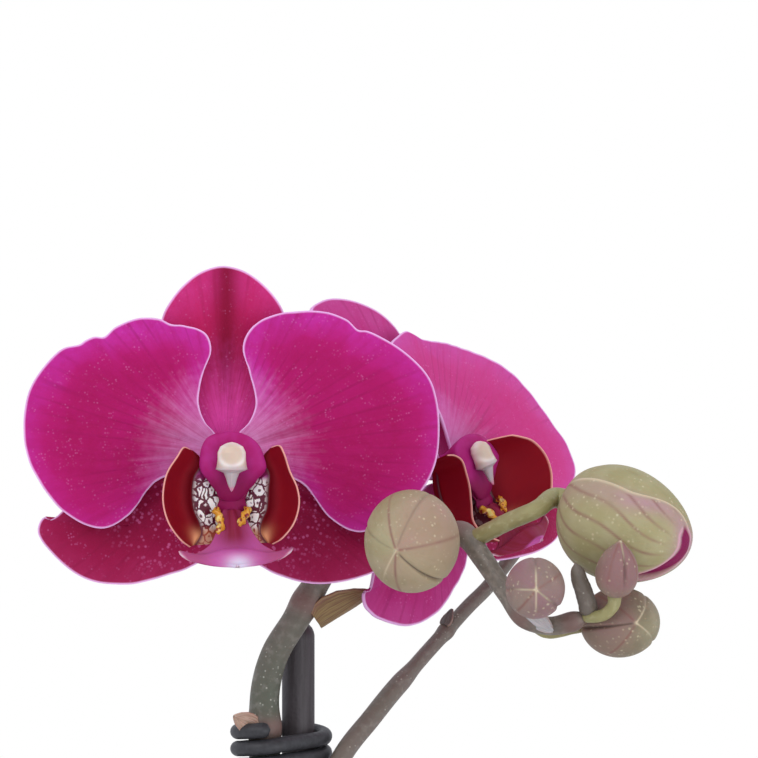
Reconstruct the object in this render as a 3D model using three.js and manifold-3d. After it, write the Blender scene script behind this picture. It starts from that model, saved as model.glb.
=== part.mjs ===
// A potted moth orchid: cover pot, grow pot, bark, leaves, roots, staked flower spike, two open
// flowers, a side branch and five buds. Millimetres, +Z up, origin at the centre of the pot's base,
// and -Y is the side that the flowers face.
import * as THREE from "three";
import { mergeVertices } from "three/addons/utils/BufferGeometryUtils.js";
import Module from "manifold-3d";

const wasm = await Module();
wasm.setup();

// ---- Driving dimensions ----
const GAP = 0.35; // clearance between pieces that touch
const COVER_POT = { height: 110, rimRadius: 60, baseRadius: 45, wall: 4, floor: 6, rimRound: 1.6 };
const GROW_POT = { wall: 1.2, floor: 1.6, sideGap: 1.5, belowRim: 3.5, lipWidth: 2.2 };
const BARK = { belowRim: 12, dome: 5, sideGap: 0.5 };
const CROWN = { at: [-2, 18], radius: 8, height: 34, buried: 12 };
const SPIKE = { y: -4, baseRadius: 3.9, midRadius: 3.55, archRadius: 2.6, tipRadius: 1.7 };
const STAKE = { x: 0.9, radius: 3.5, above: 258, buried: 80 };
const BRANCH = { baseRadius: 2.1, tipRadius: 1.4 };
const TIE = { radius: 1.65, pitch: 3.6, turns: 2.3 };
const PETAL_THICK = 0.8;
const BRACT_THICK = 0.7;
const COLUMN = { backRadius: 2.3, neckRadius: 2.7, faceRadius: 3.9, back: 3, front: 11 };
const STALK_RADIUS = 1.6;

const BARK_TOP = COVER_POT.height - BARK.belowRim;
// The stake stands just behind the spike.
const STAKE_Y = SPIKE.y + SPIKE.midRadius + STAKE.radius + GAP;
const V = (x, y, z) => new THREE.Vector3(x, y, z);
// A point of the plant, at a height above the bark.
const P = (x, y, above) => V(x, y, BARK_TOP + above);

// ---- Solids ----
function solid(geometry) {
  const bare = geometry.clone();
  bare.deleteAttribute("normal");
  bare.deleteAttribute("uv");
  const merged = mergeVertices(bare, 1e-3);
  return new wasm.Manifold(
    new wasm.Mesh({
      numProp: 3,
      vertProperties: new Float32Array(merged.attributes.position.array),
      triVerts: new Uint32Array(merged.index.array),
    }),
  );
}

function geometryOf(made) {
  const mesh = made.getMesh();
  const count = mesh.numProp;
  const position = new Float32Array(mesh.numVert * 3);
  for (let i = 0; i < mesh.numVert; i++) {
    position.set(mesh.vertProperties.subarray(i * count, i * count + 3), i * 3);
  }
  const made3 = new THREE.BufferGeometry();
  made3.setAttribute("position", new THREE.BufferAttribute(position, 3));
  made3.setIndex(new THREE.BufferAttribute(new Uint32Array(mesh.triVerts), 1));
  return made3;
}

// What is left of a geometry once its neighbours' clearance shapes are cut away: the largest part.
function trimmed(geometry, ...neighbours) {
  let left = solid(geometry);
  for (const other of neighbours) left = left.subtract(solid(other));
  const parts = left.decompose().sort((a, b) => b.volume() - a.volume());
  return geometryOf(parts[0]);
}

function joined(...geometries) {
  return geometryOf(geometries.map(solid).reduce((all, next) => all.add(next)));
}

// Moves every vertex of a geometry to where place(vertex) says.
function reshaped(geometry, place) {
  const at = geometry.attributes.position;
  const from = new THREE.Vector3();
  for (let i = 0; i < at.count; i++) {
    const to = place(from.fromBufferAttribute(at, i));
    at.setXYZ(i, to.x, to.y, to.z);
  }
  return geometry;
}

// A round rod along a curve, with the radius that radiusAt(share of its length) gives.
function rod(curve, radiusAt, steps, sides = 8) {
  const frames = curve.computeFrenetFrames(steps, false);
  const shape = new THREE.CylinderGeometry(1, 1, 1, sides, steps);
  return reshaped(shape, (v) => {
    const share = THREE.MathUtils.clamp(0.5 - v.y, 0, 1);
    const step = Math.round(share * steps);
    const radius = radiusAt(share);
    return curve
      .getPointAt(share)
      .addScaledVector(frames.normals[step], v.x * radius)
      .addScaledVector(frames.binormals[step], v.z * radius);
  });
}

const smooth = (points, closed = false) =>
  new THREE.CatmullRomCurve3(points, closed, "centripetal");
const mix = (a, b, t) => a + (b - a) * t;

// A thin sheet with a closed outline. A square grid is rounded into a disc, the disc is stretched
// from the sheet's heart to its outline, and height(x, z) sets how far forward each point lies.
// In the sheet's frame x is right, z is up and -y is forward.
function blade(outline, heart, height, cells = 8, thickness = PETAL_THICK) {
  const edge = smooth(outline.map(([x, z]) => V(x, 0, z)), true);
  const middle = V(heart[0], 0, heart[1]);
  const first = outline[0];
  const start = Math.atan2(first[1] - heart[1], first[0] - heart[0]);
  const grid = new THREE.BoxGeometry(2, 2, 1, cells, cells, 1);
  return reshaped(grid, (v) => {
    const x = v.x * Math.sqrt(1 - (v.y * v.y) / 2);
    const y = v.y * Math.sqrt(1 - (v.x * v.x) / 2);
    const reach = Math.min(1, Math.hypot(x, y));
    const turn = (Math.atan2(y, x) - start) / (2 * Math.PI);
    const onEdge = edge.getPoint(THREE.MathUtils.euclideanModulo(turn, 1));
    const to = middle.clone().lerp(onEdge, reach);
    to.y = -height(to.x, to.z) - v.z * thickness;
    return to;
  });
}

// ---- Materials ----
const paint = (color, roughness = 0.6, metalness = 0) =>
  new THREE.MeshStandardMaterial({ color, roughness, metalness });
const LOOKS = {
  ceramic: paint(0xeeeae2, 0.35),
  clear: paint(0xc9d2cf, 0.25),
  bark: paint(0x5d4030, 0.9),
  leaf: paint(0x3f6b35, 0.4),
  root: paint(0x9aa68a, 0.7),
  stem: paint(0x66634f, 0.55),
  stake: paint(0x3b3535, 0.5),
  tie: paint(0x4f4b4e, 0.6),
  bract: paint(0xb09a83, 0.8),
  petal: paint(0xa91c66, 0.5),
  sepal: paint(0x971c4c, 0.5),
  lip: paint(0x76101f, 0.5),
  column: paint(0xa92d78, 0.5),
  cap: paint(0xe0d0c0, 0.5),
  bud: paint(0xa8997a, 0.6),
};

const orchid = new THREE.Group();
function add(name, geometry, look, parent = orchid) {
  const mesh = new THREE.Mesh(geometry, LOOKS[look]);
  mesh.name = name;
  parent.add(mesh);
  return mesh;
}

// ---- Pots and bark ----
const lathe = (points, segments = 32) =>
  new THREE.LatheGeometry(points.map(([r, z]) => new THREE.Vector2(r, z)), segments).rotateX(
    Math.PI / 2,
  );

// The cover pot's outer radius at a height.
const potRadius = (z) => mix(COVER_POT.baseRadius, COVER_POT.rimRadius, z / COVER_POT.height);
// The grow pot's outer radius at a height.
const growRadius = (z) => potRadius(z) - COVER_POT.wall - GROW_POT.sideGap;

function coverPot() {
  const { height, rimRadius, baseRadius, wall, floor, rimRound } = COVER_POT;
  return lathe([
    [0, 0],
    [baseRadius - rimRound, 0],
    [baseRadius, rimRound],
    [rimRadius, height - rimRound],
    [rimRadius - rimRound, height],
    [rimRadius - wall + rimRound, height],
    [rimRadius - wall, height - rimRound],
    [potRadius(floor) - wall, floor],
    [0, floor],
  ]);
}

function growPot() {
  const base = COVER_POT.floor + GAP;
  const top = COVER_POT.height - GROW_POT.belowRim;
  const { wall, floor, lipWidth } = GROW_POT;
  return lathe([
    [0, base],
    [growRadius(base), base],
    [growRadius(top - lipWidth), top - lipWidth],
    [growRadius(top), top - lipWidth / 2],
    [growRadius(top), top],
    [growRadius(top) - lipWidth, top],
    [growRadius(top - lipWidth) - wall, top - lipWidth],
    [growRadius(base + floor) - wall, base + floor],
    [0, base + floor],
  ]);
}

function barkMix() {
  const base = COVER_POT.floor + GAP + GROW_POT.floor + BARK.sideGap;
  const reach = (z) => growRadius(z) - GROW_POT.wall - BARK.sideGap;
  const rim = BARK_TOP - BARK.dome;
  return lathe([
    [0, base],
    [reach(base), base],
    [reach(rim), rim],
    [reach(rim) * 0.8, rim + BARK.dome * 0.6],
    [reach(rim) * 0.4, BARK_TOP],
    [0, BARK_TOP],
  ]);
}

// ---- Crown, stake, leaves and roots ----
const upright = (x, y, radius, bottom, top, sides = 12) =>
  new THREE.CylinderGeometry(radius, radius, top - bottom, sides)
    .rotateX(Math.PI / 2)
    .translate(x, y, (bottom + top) / 2);

const crownAt = (grow) =>
  upright(
    ...CROWN.at,
    CROWN.radius + grow,
    BARK_TOP - CROWN.buried - grow,
    BARK_TOP + CROWN.height + grow,
  );
const stakeAt = (grow) =>
  upright(
    STAKE.x,
    STAKE_Y,
    STAKE.radius + grow,
    BARK_TOP - STAKE.buried - grow,
    BARK_TOP + STAKE.above + grow,
  );

// heading: compass angle from +X; rise and droop: the slope at the leaf's base and at its tip.
const LEAVES = [
  { heading: -12, up: 9, length: 150, width: 56, rise: 34, droop: -36 },
  { heading: 164, up: 14, length: 158, width: 58, rise: 38, droop: -40 },
  { heading: -20, up: 20, length: 128, width: 52, rise: 56, droop: -12 },
  { heading: 174, up: 25, length: 118, width: 48, rise: 62, droop: 2 },
  { heading: 62, up: 30, length: 72, width: 34, rise: 76, droop: 38 },
];
const LEAF = { thickness: 2.4, edgeShare: 0.5, channel: 0.2, baseShare: 0.32 };

// Half the leaf's width at a share of its length: a narrow base, a broad middle, a round tip.
function leafHalfWidth(share, width) {
  const spread = THREE.MathUtils.smoothstep(share, 0, 0.5);
  const tip = Math.max(0, (share - 0.6) / 0.4);
  const round = Math.sqrt(Math.max(0.012, 1 - tip ** 2.4));
  return (width / 2) * mix(LEAF.baseShare, 1, spread) * round;
}

function leaf({ heading, up, length, width, rise, droop }) {
  const toRadians = Math.PI / 180;
  const bend = (droop - rise) * toRadians;
  const angle = (share) => rise * toRadians + bend * share;
  const ahead = V(Math.cos(heading * toRadians), Math.sin(heading * toRadians), 0);
  const aside = V(-ahead.y, ahead.x, 0);
  const start = P(...CROWN.at, up).addScaledVector(ahead, CROWN.radius - 1);
  const grid = new THREE.BoxGeometry(1, 2, 1, 12, 4, 1);
  const shape = reshaped(grid, (v) => {
    const share = v.x + 0.5;
    const out = (length / bend) * (Math.sin(angle(share)) - Math.sin(angle(0)));
    const lift = (length / bend) * (Math.cos(angle(0)) - Math.cos(angle(share)));
    const across = v.y * leafHalfWidth(share, width);
    const thick = LEAF.thickness * mix(1, LEAF.edgeShare, v.y * v.y);
    const above = Math.abs(across) * LEAF.channel + v.z * thick;
    return start
      .clone()
      .addScaledVector(ahead, out - Math.sin(angle(share)) * above)
      .addScaledVector(aside, across)
      .add(V(0, 0, lift + Math.cos(angle(share)) * above));
  });
  return trimmed(shape, crownAt(GAP), stakeAt(GAP));
}

// Each root leaves the crown, lies on the bark and ends in it or over the cover pot's rim.
const ROOT = { radius: 2.3, tipShare: 0.72, rimClearance: 1.2 };
const overRim = COVER_POT.rimRadius + ROOT.radius + ROOT.rimClearance;
const rimLift = BARK.belowRim + ROOT.radius + ROOT.rimClearance;
// A point at a distance from the pot's axis, on the +X side.
const atReach = (reach, y, above) => P(Math.sqrt(reach * reach - y * y), y, above);
const ROOTS = [
  [P(2, 12, -1), P(12, 1, 4), P(20, -14, 4), P(25, -28, 2), P(27, -36, -14)],
  [P(-8, 14, -1), P(-22, 6, 5), P(-33, -8, 4), P(-37, -16, -3), P(-38, -19, -16)],
  [
    P(4, 22, -2),
    P(22, 26, 6),
    P(38, 24, 13.5),
    atReach(overRim - 7, 24, rimLift + 0.6),
    atReach(overRim - 1.2, 24.5, rimLift - 1.6),
    atReach(overRim + 0.8, 25, rimLift - 7),
    atReach(overRim + 0.4, 26, -14),
    atReach(overRim - 2.2, 28, -36),
  ],
  [P(-6, 25, -1), P(-15, 32, 5), P(-24, 35, 1), P(-28, 35, -15)],
];
const root = (points, grow) =>
  rod(smooth(points), (s) => ROOT.radius * mix(1, ROOT.tipShare, s ** 3) + grow, points.length * 3);

// ---- Spike, branch, bracts and ties ----
const spikeCurve = smooth([
  P(-4.6, 14, 5),
  P(-7.6, 4.2, 22),
  P(-8.4, -1, 52),
  P(-7.4, -3.6, 100),
  P(-6.6, SPIKE.y, 170),
  P(-6, SPIKE.y, 232),
  P(-5.8, SPIKE.y, 244),
  P(-3.7, SPIKE.y, 251.6),
  P(0.6, SPIKE.y, 258.8),
  P(5.1, SPIKE.y, 266.7),
  P(7.4, -4.5, 270.2),
  P(11.4, -6, 273),
  P(17.4, -10, 274.4),
  P(24.2, -16, 275.4),
  P(30.5, -23.5, 276.6),
  P(35.2, -30, 278.2),
  P(39, -34.5, 273.6),
  P(43.7, -38.5, 266.8),
  P(47.4, -41, 262),
  P(52, -42.5, 260.4),
  P(56.4, -43.5, 261.2),
  P(59.6, -44.4, 262.4),
]);
const SPIKE_STEPS = 44;
const SPIKE_SEARCH = 400;
function spikeRadius(share) {
  const { baseRadius, midRadius, archRadius, tipRadius } = SPIKE;
  if (share < 0.6) return mix(baseRadius, midRadius, share / 0.6);
  if (share < 0.8) return mix(midRadius, archRadius, (share - 0.6) / 0.2);
  return mix(archRadius, tipRadius, (share - 0.8) / 0.2);
}
const spikeAt = (grow) => rod(spikeCurve, (s) => spikeRadius(s) + grow, SPIKE_STEPS, 8);
// The point of the spike's middle line that lies nearest to a given point.
const onSpike = (point) => {
  const along = spikeCurve.getSpacedPoints(SPIKE_SEARCH);
  return along.reduce((best, next) =>
    next.distanceTo(point) < best.distanceTo(point) ? next : best,
  );
};

const branchCurve = smooth([
  P(-6.2, SPIKE.y, 205),
  P(-1.5, -6.5, 210),
  P(4.5, -5.8, 217),
  P(10.1, -0.5, 229),
  P(16.3, 6, 236.4),
  P(23.4, 13, 244.3),
  P(37.9, 27, 259.1),
  P(42.4, 31, 263.2),
  P(56.2, 45, 278.1),
  P(69, 54, 284),
]);
const branchAt = (grow) =>
  rod(branchCurve, (s) => mix(BRANCH.baseRadius, BRANCH.tipRadius, s ** 2) + grow, 20, 8);

// A cupped scale that stands on a stem at a point, leaning along "lean" and opening away from it.
function bract({ at, lean, away, length, width, cup = 0.12 }) {
  const outline = [
    [0, 0],
    [width * 0.5, length * 0.28],
    [width * 0.36, length * 0.68],
    [0, length],
    [-width * 0.36, length * 0.68],
    [-width * 0.5, length * 0.28],
  ];
  const scale = blade(outline, [0, length * 0.42], (x) => -x * x * cup, 4, BRACT_THICK);
  const up = lean.clone().normalize();
  const back = away.clone().projectOnPlane(up).normalize().negate();
  const side = new THREE.Vector3().crossVectors(back, up);
  const stand = new THREE.Matrix4().makeBasis(side, back, up).setPosition(at);
  return scale.applyMatrix4(stand);
}

// A soft tie wound round the spike and the stake. Each point lies outside the circle that reaches
// furthest in its direction, so that the loop wraps both stems.
function softTie(height, firstAngle) {
  const stems = [
    { at: onSpike(P(STAKE.x, STAKE_Y, height)), radius: SPIKE.midRadius },
    { at: V(STAKE.x, STAKE_Y, 0), radius: STAKE.radius },
  ];
  const stepsPerTurn = 14;
  const count = Math.round(TIE.turns * stepsPerTurn);
  const points = [];
  for (let i = 0; i <= count; i++) {
    const angle = firstAngle - (i / stepsPerTurn) * 2 * Math.PI;
    const way = V(Math.cos(angle), Math.sin(angle), 0);
    const reach = (s) => way.dot(V(s.at.x, s.at.y, 0)) + s.radius;
    const stem = reach(stems[0]) > reach(stems[1]) ? stems[0] : stems[1];
    const out = stem.radius + TIE.radius + 2 * GAP;
    const drop = (i / stepsPerTurn) * TIE.pitch;
    points.push(P(stem.at.x + way.x * out, stem.at.y + way.y * out, height - drop));
  }
  return rod(smooth(points), () => TIE.radius, count, 6);
}

// ---- Flowers ----
// Outlines are in the flower's face: x right and z up from its centre, drawn for the right side.
const BROAD_PETAL = [
  [43.7, 6], [40.4, 16.3], [31.5, 24], [20.5, 28.9], [10.5, 28.4], [4, 24], [4, 17.5], [5.6, 9.5],
  [3.2, 2.2], [2.6, -1.6], [8.5, -3.6], [15.5, -6.6], [21.3, -13.6], [27, -16.4], [35.5, -12.8],
  [41.5, -5.2],
];
const DROOPING_PETAL = [
  [39.6, -4], [38.3, 2.4], [34.8, 9.7], [26.6, 17.5], [17.7, 23.3], [9.7, 27.6], [4.8, 30.8],
  [-1, 28.8], [2.5, 20], [6.2, 11.6], [3.6, 3], [2.6, -1.6], [7, -4], [13, -9], [22, -17.5],
  [31, -20.5], [39, -16.8], [41.4, -10.5],
];
const DORSAL_SEPAL = [
  [13, 27.5], [7.9, 34.7], [0, 38.3], [-7.9, 34.7], [-13, 27.5], [-13.7, 20], [-10.2, 9.8],
  [-3.4, 3], [3.4, 3], [10.2, 9.8], [13.7, 20],
];
const LATERAL_SEPAL = [
  [38.8, -15.6], [35, -11.4], [24, -6], [12, -3.4], [3.4, -2.4], [1.8, -4.6], [4, -17],
  [10.6, -25.4], [20, -27.3], [31, -25.2], [37, -21],
];
const mirror = (outline) => outline.map(([x, z]) => [-x, z]).reverse();
const resized = (outline, size, turn) => {
  const c = Math.cos(THREE.MathUtils.degToRad(turn)) * size;
  const s = Math.sin(THREE.MathUtils.degToRad(turn)) * size;
  return outline.map(([x, z]) => [x * c - z * s, x * s + z * c]);
};
const heartOf = (outline) => {
  const sum = outline.reduce(([a, b], [x, z]) => [a + x, b + z], [0, 0]);
  return sum.map((v) => v / outline.length);
};
// How far in front of the flower's centre each point of a petal or a sepal lies: the petals bow
// forward and fall back at their edges, and the sepals sweep back behind them.
const PETAL_REACH = 44;
const petalHeight = (x, z) => {
  const out = Math.hypot(x, z) / PETAL_REACH;
  return 1.7 + 3 * out - 4.2 * out * out;
};
const sepalHeight = (x, z) => {
  const out = Math.hypot(x, z) / PETAL_REACH;
  return -1.1 - 0.8 * out - 2.4 * out * out;
};

// The column: a stout stem from the flower's back to its face.
function column(grow) {
  const path = new THREE.LineCurve3(V(0, COLUMN.back, 0), V(0, -COLUMN.front, -0.6));
  const face = (s) =>
    s < 0.35
      ? mix(COLUMN.backRadius, COLUMN.neckRadius, s / 0.35)
      : mix(COLUMN.neckRadius, COLUMN.faceRadius, (s - 0.35) / 0.65);
  return rod(path, (s) => face(s) + grow, 6, 10);
}

const CAP = { width: 6, height: 5.6, depth: 3, beak: 5.5 };
function antherCap() {
  const dome = new THREE.SphereGeometry(1, 10, 8)
    .scale(CAP.width / 2, CAP.depth / 2, CAP.height / 2)
    .translate(0, -COLUMN.front - GAP - CAP.depth / 2, 0.3);
  const beak = new THREE.ConeGeometry(1.5, CAP.beak, 8)
    .rotateX(-Math.PI / 2)
    .translate(0, -COLUMN.front - GAP - CAP.depth * 0.62, -CAP.height / 2 - CAP.beak / 2 + 1.8);
  return joined(dome, beak);
}

// The lip: a claw under the column, two upright side lobes and an arrow-shaped middle lobe.
const LIP = {
  sideHeight: 20, sideReach: 15, middleWidth: 23.6, middleTip: -23.6, thickness: 0.9,
  base: { width: 11.6, depth: 5, height: 2.4, forward: 9.5, below: 17.2 },
};
function sideLobe() {
  const foot = -19;
  const inner = smooth([V(5, -8, foot), V(6, -9, -14), V(6.3, -9.5, -9), V(7, -9, -4), V(9.4, -8.5, 1)]);
  const outer = smooth([
    V(6.6, -10.5, foot),
    V(12, -14.5, -14.5),
    V(LIP.sideReach - 1, -16, -8.5),
    V(LIP.sideReach - 1.8, -15, -3),
    V(10.8, -12, LIP.sideHeight + foot + 0.8),
  ]);
  const grid = new THREE.BoxGeometry(1, 1, 1, 2, 5, 1);
  return reshaped(grid, (v) => {
    const share = v.y + 0.5;
    const to = inner.getPoint(share).lerp(outer.getPoint(share), v.x + 0.5);
    return to.add(V(-v.z * LIP.thickness * 0.8, -v.z * LIP.thickness * 0.6, 0));
  });
}
function middleLobe() {
  const half = LIP.middleWidth / 2;
  const widths = smooth([V(4.6, 0, 0), V(6.4, 0, 0), V(half, 0, 0), V(half * 0.72, 0, 0), V(1.4, 0, 0)]);
  const grid = new THREE.BoxGeometry(2, 1, 1, 4, 6, 1);
  return reshaped(grid, (v) => {
    const share = v.y + 0.5;
    const x = v.x * widths.getPoint(share).x;
    const drop = mix(-13.5, LIP.middleTip, share ** 0.8);
    return V(x, mix(-6, -17, share), drop + (x * x) / 45 - v.z * LIP.thickness);
  });
}
function lipClaw() {
  const path = smooth([V(0, -4.5, -4.4), V(0, -5.5, -8), V(0, -7, -12), V(0, -9, -15)]);
  return rod(path, (s) => mix(1.7, 3.2, s), 4, 8);
}
function mirrored(geometry) {
  const flipped = geometry.clone().scale(-1, 1, 1);
  const order = flipped.index.array;
  for (let i = 0; i < order.length; i += 3) [order[i + 1], order[i + 2]] = [order[i + 2], order[i + 1]];
  return flipped;
}
function lip() {
  const { width, depth, height, forward, below } = LIP.base;
  const base = new THREE.BoxGeometry(width, depth, height).translate(0, -forward, -below);
  const right = sideLobe();
  const whole = joined(lipClaw(), middleLobe(), base, right, mirrored(right));
  return trimmed(whole, column(GAP));
}

// Each flower: where its centre is, how it faces in degrees, each petal's outline, size and turn,
// each sepal's size and turn, and its stalk's path from the spike.
const FLOWERS = {
  front_flower: {
    at: P(-13.1, -26, 294.7),
    face: { yaw: 4, pitch: 0, roll: 0 },
    petals: { right: [BROAD_PETAL, 1, 0], left: [BROAD_PETAL, 0.945, 0] },
    sepals: { right: [0.97, 0], left: [1, 0], dorsal: [1, 1] },
    stalk: [P(9, -5, 271), P(2, -5.5, 279), P(-7, -9.5, 289.5), P(-12, -17, 294)],
  },
  rear_flower: {
    at: P(31.3, 13, 290.6),
    face: { yaw: 46, pitch: 15.9, roll: 17.5 },
    petals: { right: [DROOPING_PETAL, 0.95, 0], left: [BROAD_PETAL, 0.84, -14] },
    sepals: { right: [0.92, -4], left: [0.95, 6], dorsal: [1.16, 15] },
    stalk: [P(15, -8, 274), P(16.5, 4, 276.5), P(22, 15, 283.5), P(26.3, 19, 288.2)],
  },
};

function flower(name, { at, face, petals, sepals, stalk }) {
  const stand = new THREE.Group();
  const toRadians = THREE.MathUtils.degToRad;
  stand.position.copy(at);
  stand.rotation.set(-toRadians(face.pitch), toRadians(-face.roll), toRadians(face.yaw), "ZXY");
  stand.updateMatrix();
  orchid.add(stand);
  const clear = column(GAP);
  for (const [side, [outline, size, turn]] of Object.entries(petals)) {
    const drawn = side === "left" ? mirror(outline) : outline;
    const edge = resized(drawn, size, turn);
    const made = blade(edge, heartOf(edge), petalHeight);
    add(`${name}_${side}_petal`, trimmed(made, clear), "petal", stand);
  }
  for (const [side, [size, turn]] of Object.entries(sepals)) {
    const shapes = { dorsal: DORSAL_SEPAL, right: LATERAL_SEPAL, left: mirror(LATERAL_SEPAL) };
    const edge = resized(shapes[side], size, turn);
    const made = blade(edge, heartOf(edge), sepalHeight, 6);
    add(`${name}_${side}_sepal`, trimmed(made, clear), "sepal", stand);
  }
  add(`${name}_column`, column(0), "column", stand);
  add(`${name}_anther_cap`, antherCap(), "cap", stand);
  add(`${name}_lip`, lip(), "lip", stand);
  const back = V(0, COLUMN.back + GAP, 0).applyMatrix4(stand.matrix);
  const nearBack = V(0, COLUMN.back + GAP + 1.5, 0).applyMatrix4(stand.matrix);
  const curve = smooth([onSpike(stalk[0]), ...stalk.slice(1), nearBack, back]);
  const made = rod(curve, () => STALK_RADIUS, 12);
  add(`${name}_stalk`, trimmed(made, spikeAt(GAP)), "stem");
}

// ---- Buds ----
// size: length, width and height. aim: the way the bud's tip points. stalk: its path from the spike.
const BUDS = {
  round_bud: {
    at: P(24.2, -44, 277),
    size: [20, 18.8, 20.4],
    aim: [-0.2, -1, -0.08],
    stalkRadius: 1.7,
    stalk: [P(33.4, -27.4, 277.8), P(31.5, -32, 277.8)],
  },
  opening_bud: {
    at: P(68.3, -37, 279.8),
    size: [27, 23.5, 22],
    aim: [0.85, -0.42, -0.32],
    stalkRadius: 1.8,
    stalk: [P(37, -32, 276.5), P(42.5, -35.5, 281.5), P(50, -35, 286.5)],
  },
  small_bud: {
    at: P(48.8, -53, 268.6),
    size: [13, 11.6, 12],
    aim: [-0.1, -1, 0.05],
    stalkRadius: 1,
    stalk: [P(45.5, -39.5, 264.6), P(48, -43.5, 267.6)],
  },
  tip_bud: {
    at: P(65.2, -51.5, 272),
    size: [11, 8.4, 8.6],
    aim: [0.08, -0.35, 1],
    stalkRadius: 1.2,
    stalk: [P(59.6, -44.4, 262.4), P(62.7, -47.4, 262.9)],
  },
  low_bud: {
    at: P(67.4, -39, 260.8),
    size: [16, 16, 14],
    aim: [0.5, -1, 0.02],
    stalkRadius: 1.15,
    stalk: [P(49, -41.6, 261), P(52, -37.5, 258.6), P(58, -35.5, 259.4)],
  },
};

// A bud: an egg shape, fuller towards its base. Its own z axis runs from its stalk to its tip.
function budShape([length, width, height], grow) {
  const egg = new THREE.SphereGeometry(1, 12, 9).rotateX(Math.PI / 2);
  return reshaped(egg, (v) => {
    const fuller = 1 - 0.14 * v.z;
    return V(
      v.x * fuller * (width / 2 + grow),
      v.y * fuller * (height / 2 + grow),
      v.z * (length / 2 + grow),
    );
  });
}

function bud(name, { at, size, aim, stalkRadius, stalk }) {
  const tip = V(...aim).normalize();
  const side = new THREE.Vector3().crossVectors(V(0, 0, 1), tip).normalize();
  const up = new THREE.Vector3().crossVectors(tip, side);
  const stand = new THREE.Matrix4().makeBasis(side, up, tip).setPosition(at);
  add(name, budShape(size, 0).applyMatrix4(stand), "bud");
  const clear = budShape(size, GAP).applyMatrix4(stand);
  const back = at.clone().addScaledVector(tip, 1 - size[0] / 2);
  const nearBack = at.clone().addScaledVector(tip, -2 - size[0] / 2);
  const curve = smooth([onSpike(stalk[0]), ...stalk.slice(1), nearBack, back]);
  const steps = Math.max(3, Math.round(curve.getLength() / (2 * stalkRadius)));
  const made = rod(curve, () => stalkRadius, steps);
  add(`${name}_stalk`, trimmed(made, clear, spikeAt(GAP)), "stem");
}

// ---- The plant, put together ----
add("cover_pot", coverPot(), "ceramic");
add("grow_pot", growPot(), "clear");
const rootClear = ROOTS.map((points) => root(points, GAP));
add("bark_mix", trimmed(barkMix(), crownAt(GAP), stakeAt(GAP), ...rootClear), "bark");
add("crown", crownAt(0), "leaf");
add("stake", stakeAt(0), "stake");
LEAVES.forEach((shape, i) => add(`leaf_${i + 1}`, leaf(shape), "leaf"));
ROOTS.forEach((points, i) =>
  add(`aerial_root_${i + 1}`, trimmed(root(points, 0), crownAt(GAP), stakeAt(GAP)), "root"),
);
add("flower_spike", trimmed(spikeAt(0), crownAt(GAP)), "stem");
add("side_branch", trimmed(branchAt(0), spikeAt(GAP)), "stem");

const BRACTS = {
  spike_bract_low: {
    at: P(-8.9, -7.2, 92), lean: V(-0.1, -0.35, 1), away: V(-0.2, -1, 0), length: 14, width: 8,
  },
  spike_bract_dry: {
    at: P(-9.6, -7.4, 238), lean: V(-0.75, -0.35, 0.55), away: V(-0.5, -0.8, 0), length: 6, width: 5,
  },
  spike_bract_high: {
    at: P(4.9, -6.4, 257.2), lean: V(0.8, 0.1, 0.62), away: V(0.55, -0.5, -0.7), length: 13.5, width: 8,
  },
  branch_bract: {
    at: P(33.6, 22, 258.6), lean: V(0.6, 0.2, 0.75), away: V(-0.5, -0.6, 0.4), length: 7, width: 4,
  },
  rachis_bract_low: {
    at: P(49, -43.6, 259), lean: V(0.8, -0.2, -0.35), away: V(-0.2, -0.5, -1), length: 6, width: 5,
  },
  rachis_bract_tip: {
    at: P(58, -45.8, 263.6), lean: V(-0.15, -0.1, 1), away: V(-0.5, -0.8, 0), length: 9, width: 3.4,
  },
};
for (const [name, shape] of Object.entries(BRACTS)) {
  add(name, trimmed(bract(shape), spikeAt(GAP), branchAt(GAP)), "bract");
}
add("soft_tie_upper", softTie(236, -Math.PI * 0.42), "tie");
add("soft_tie_lower", softTie(120, -Math.PI * 0.42), "tie");
for (const [name, shape] of Object.entries(FLOWERS)) flower(name, shape);
for (const [name, shape] of Object.entries(BUDS)) bud(name, shape);

export default orchid;
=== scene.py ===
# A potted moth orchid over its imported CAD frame. Shapes are worked out in millimetres, with the
# heights of the plant counted from the top of the bark, and turned into metres as meshes are made.
import math

import bpy
import numpy as np
from mathutils import Matrix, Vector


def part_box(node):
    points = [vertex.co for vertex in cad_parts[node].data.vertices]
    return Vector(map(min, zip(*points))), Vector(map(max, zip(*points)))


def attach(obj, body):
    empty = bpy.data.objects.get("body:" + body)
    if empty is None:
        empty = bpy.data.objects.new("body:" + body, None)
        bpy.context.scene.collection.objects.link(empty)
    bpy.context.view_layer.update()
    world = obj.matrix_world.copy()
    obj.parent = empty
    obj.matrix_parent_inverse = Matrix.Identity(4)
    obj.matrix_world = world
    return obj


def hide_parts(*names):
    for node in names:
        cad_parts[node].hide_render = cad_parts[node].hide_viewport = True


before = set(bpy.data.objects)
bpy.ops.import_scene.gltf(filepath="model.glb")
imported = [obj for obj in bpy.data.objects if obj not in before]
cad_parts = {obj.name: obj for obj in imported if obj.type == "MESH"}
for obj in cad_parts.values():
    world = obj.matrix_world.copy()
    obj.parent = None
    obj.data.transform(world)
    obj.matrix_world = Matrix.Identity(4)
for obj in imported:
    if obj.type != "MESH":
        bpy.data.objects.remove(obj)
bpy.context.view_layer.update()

MM = 0.001
BARK_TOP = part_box("bark_mix")[1][2] / MM


def P(x, y, above):
    """A point of the plant in millimetres, at a height above the bark."""
    return (x, y, BARK_TOP + above)


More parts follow.
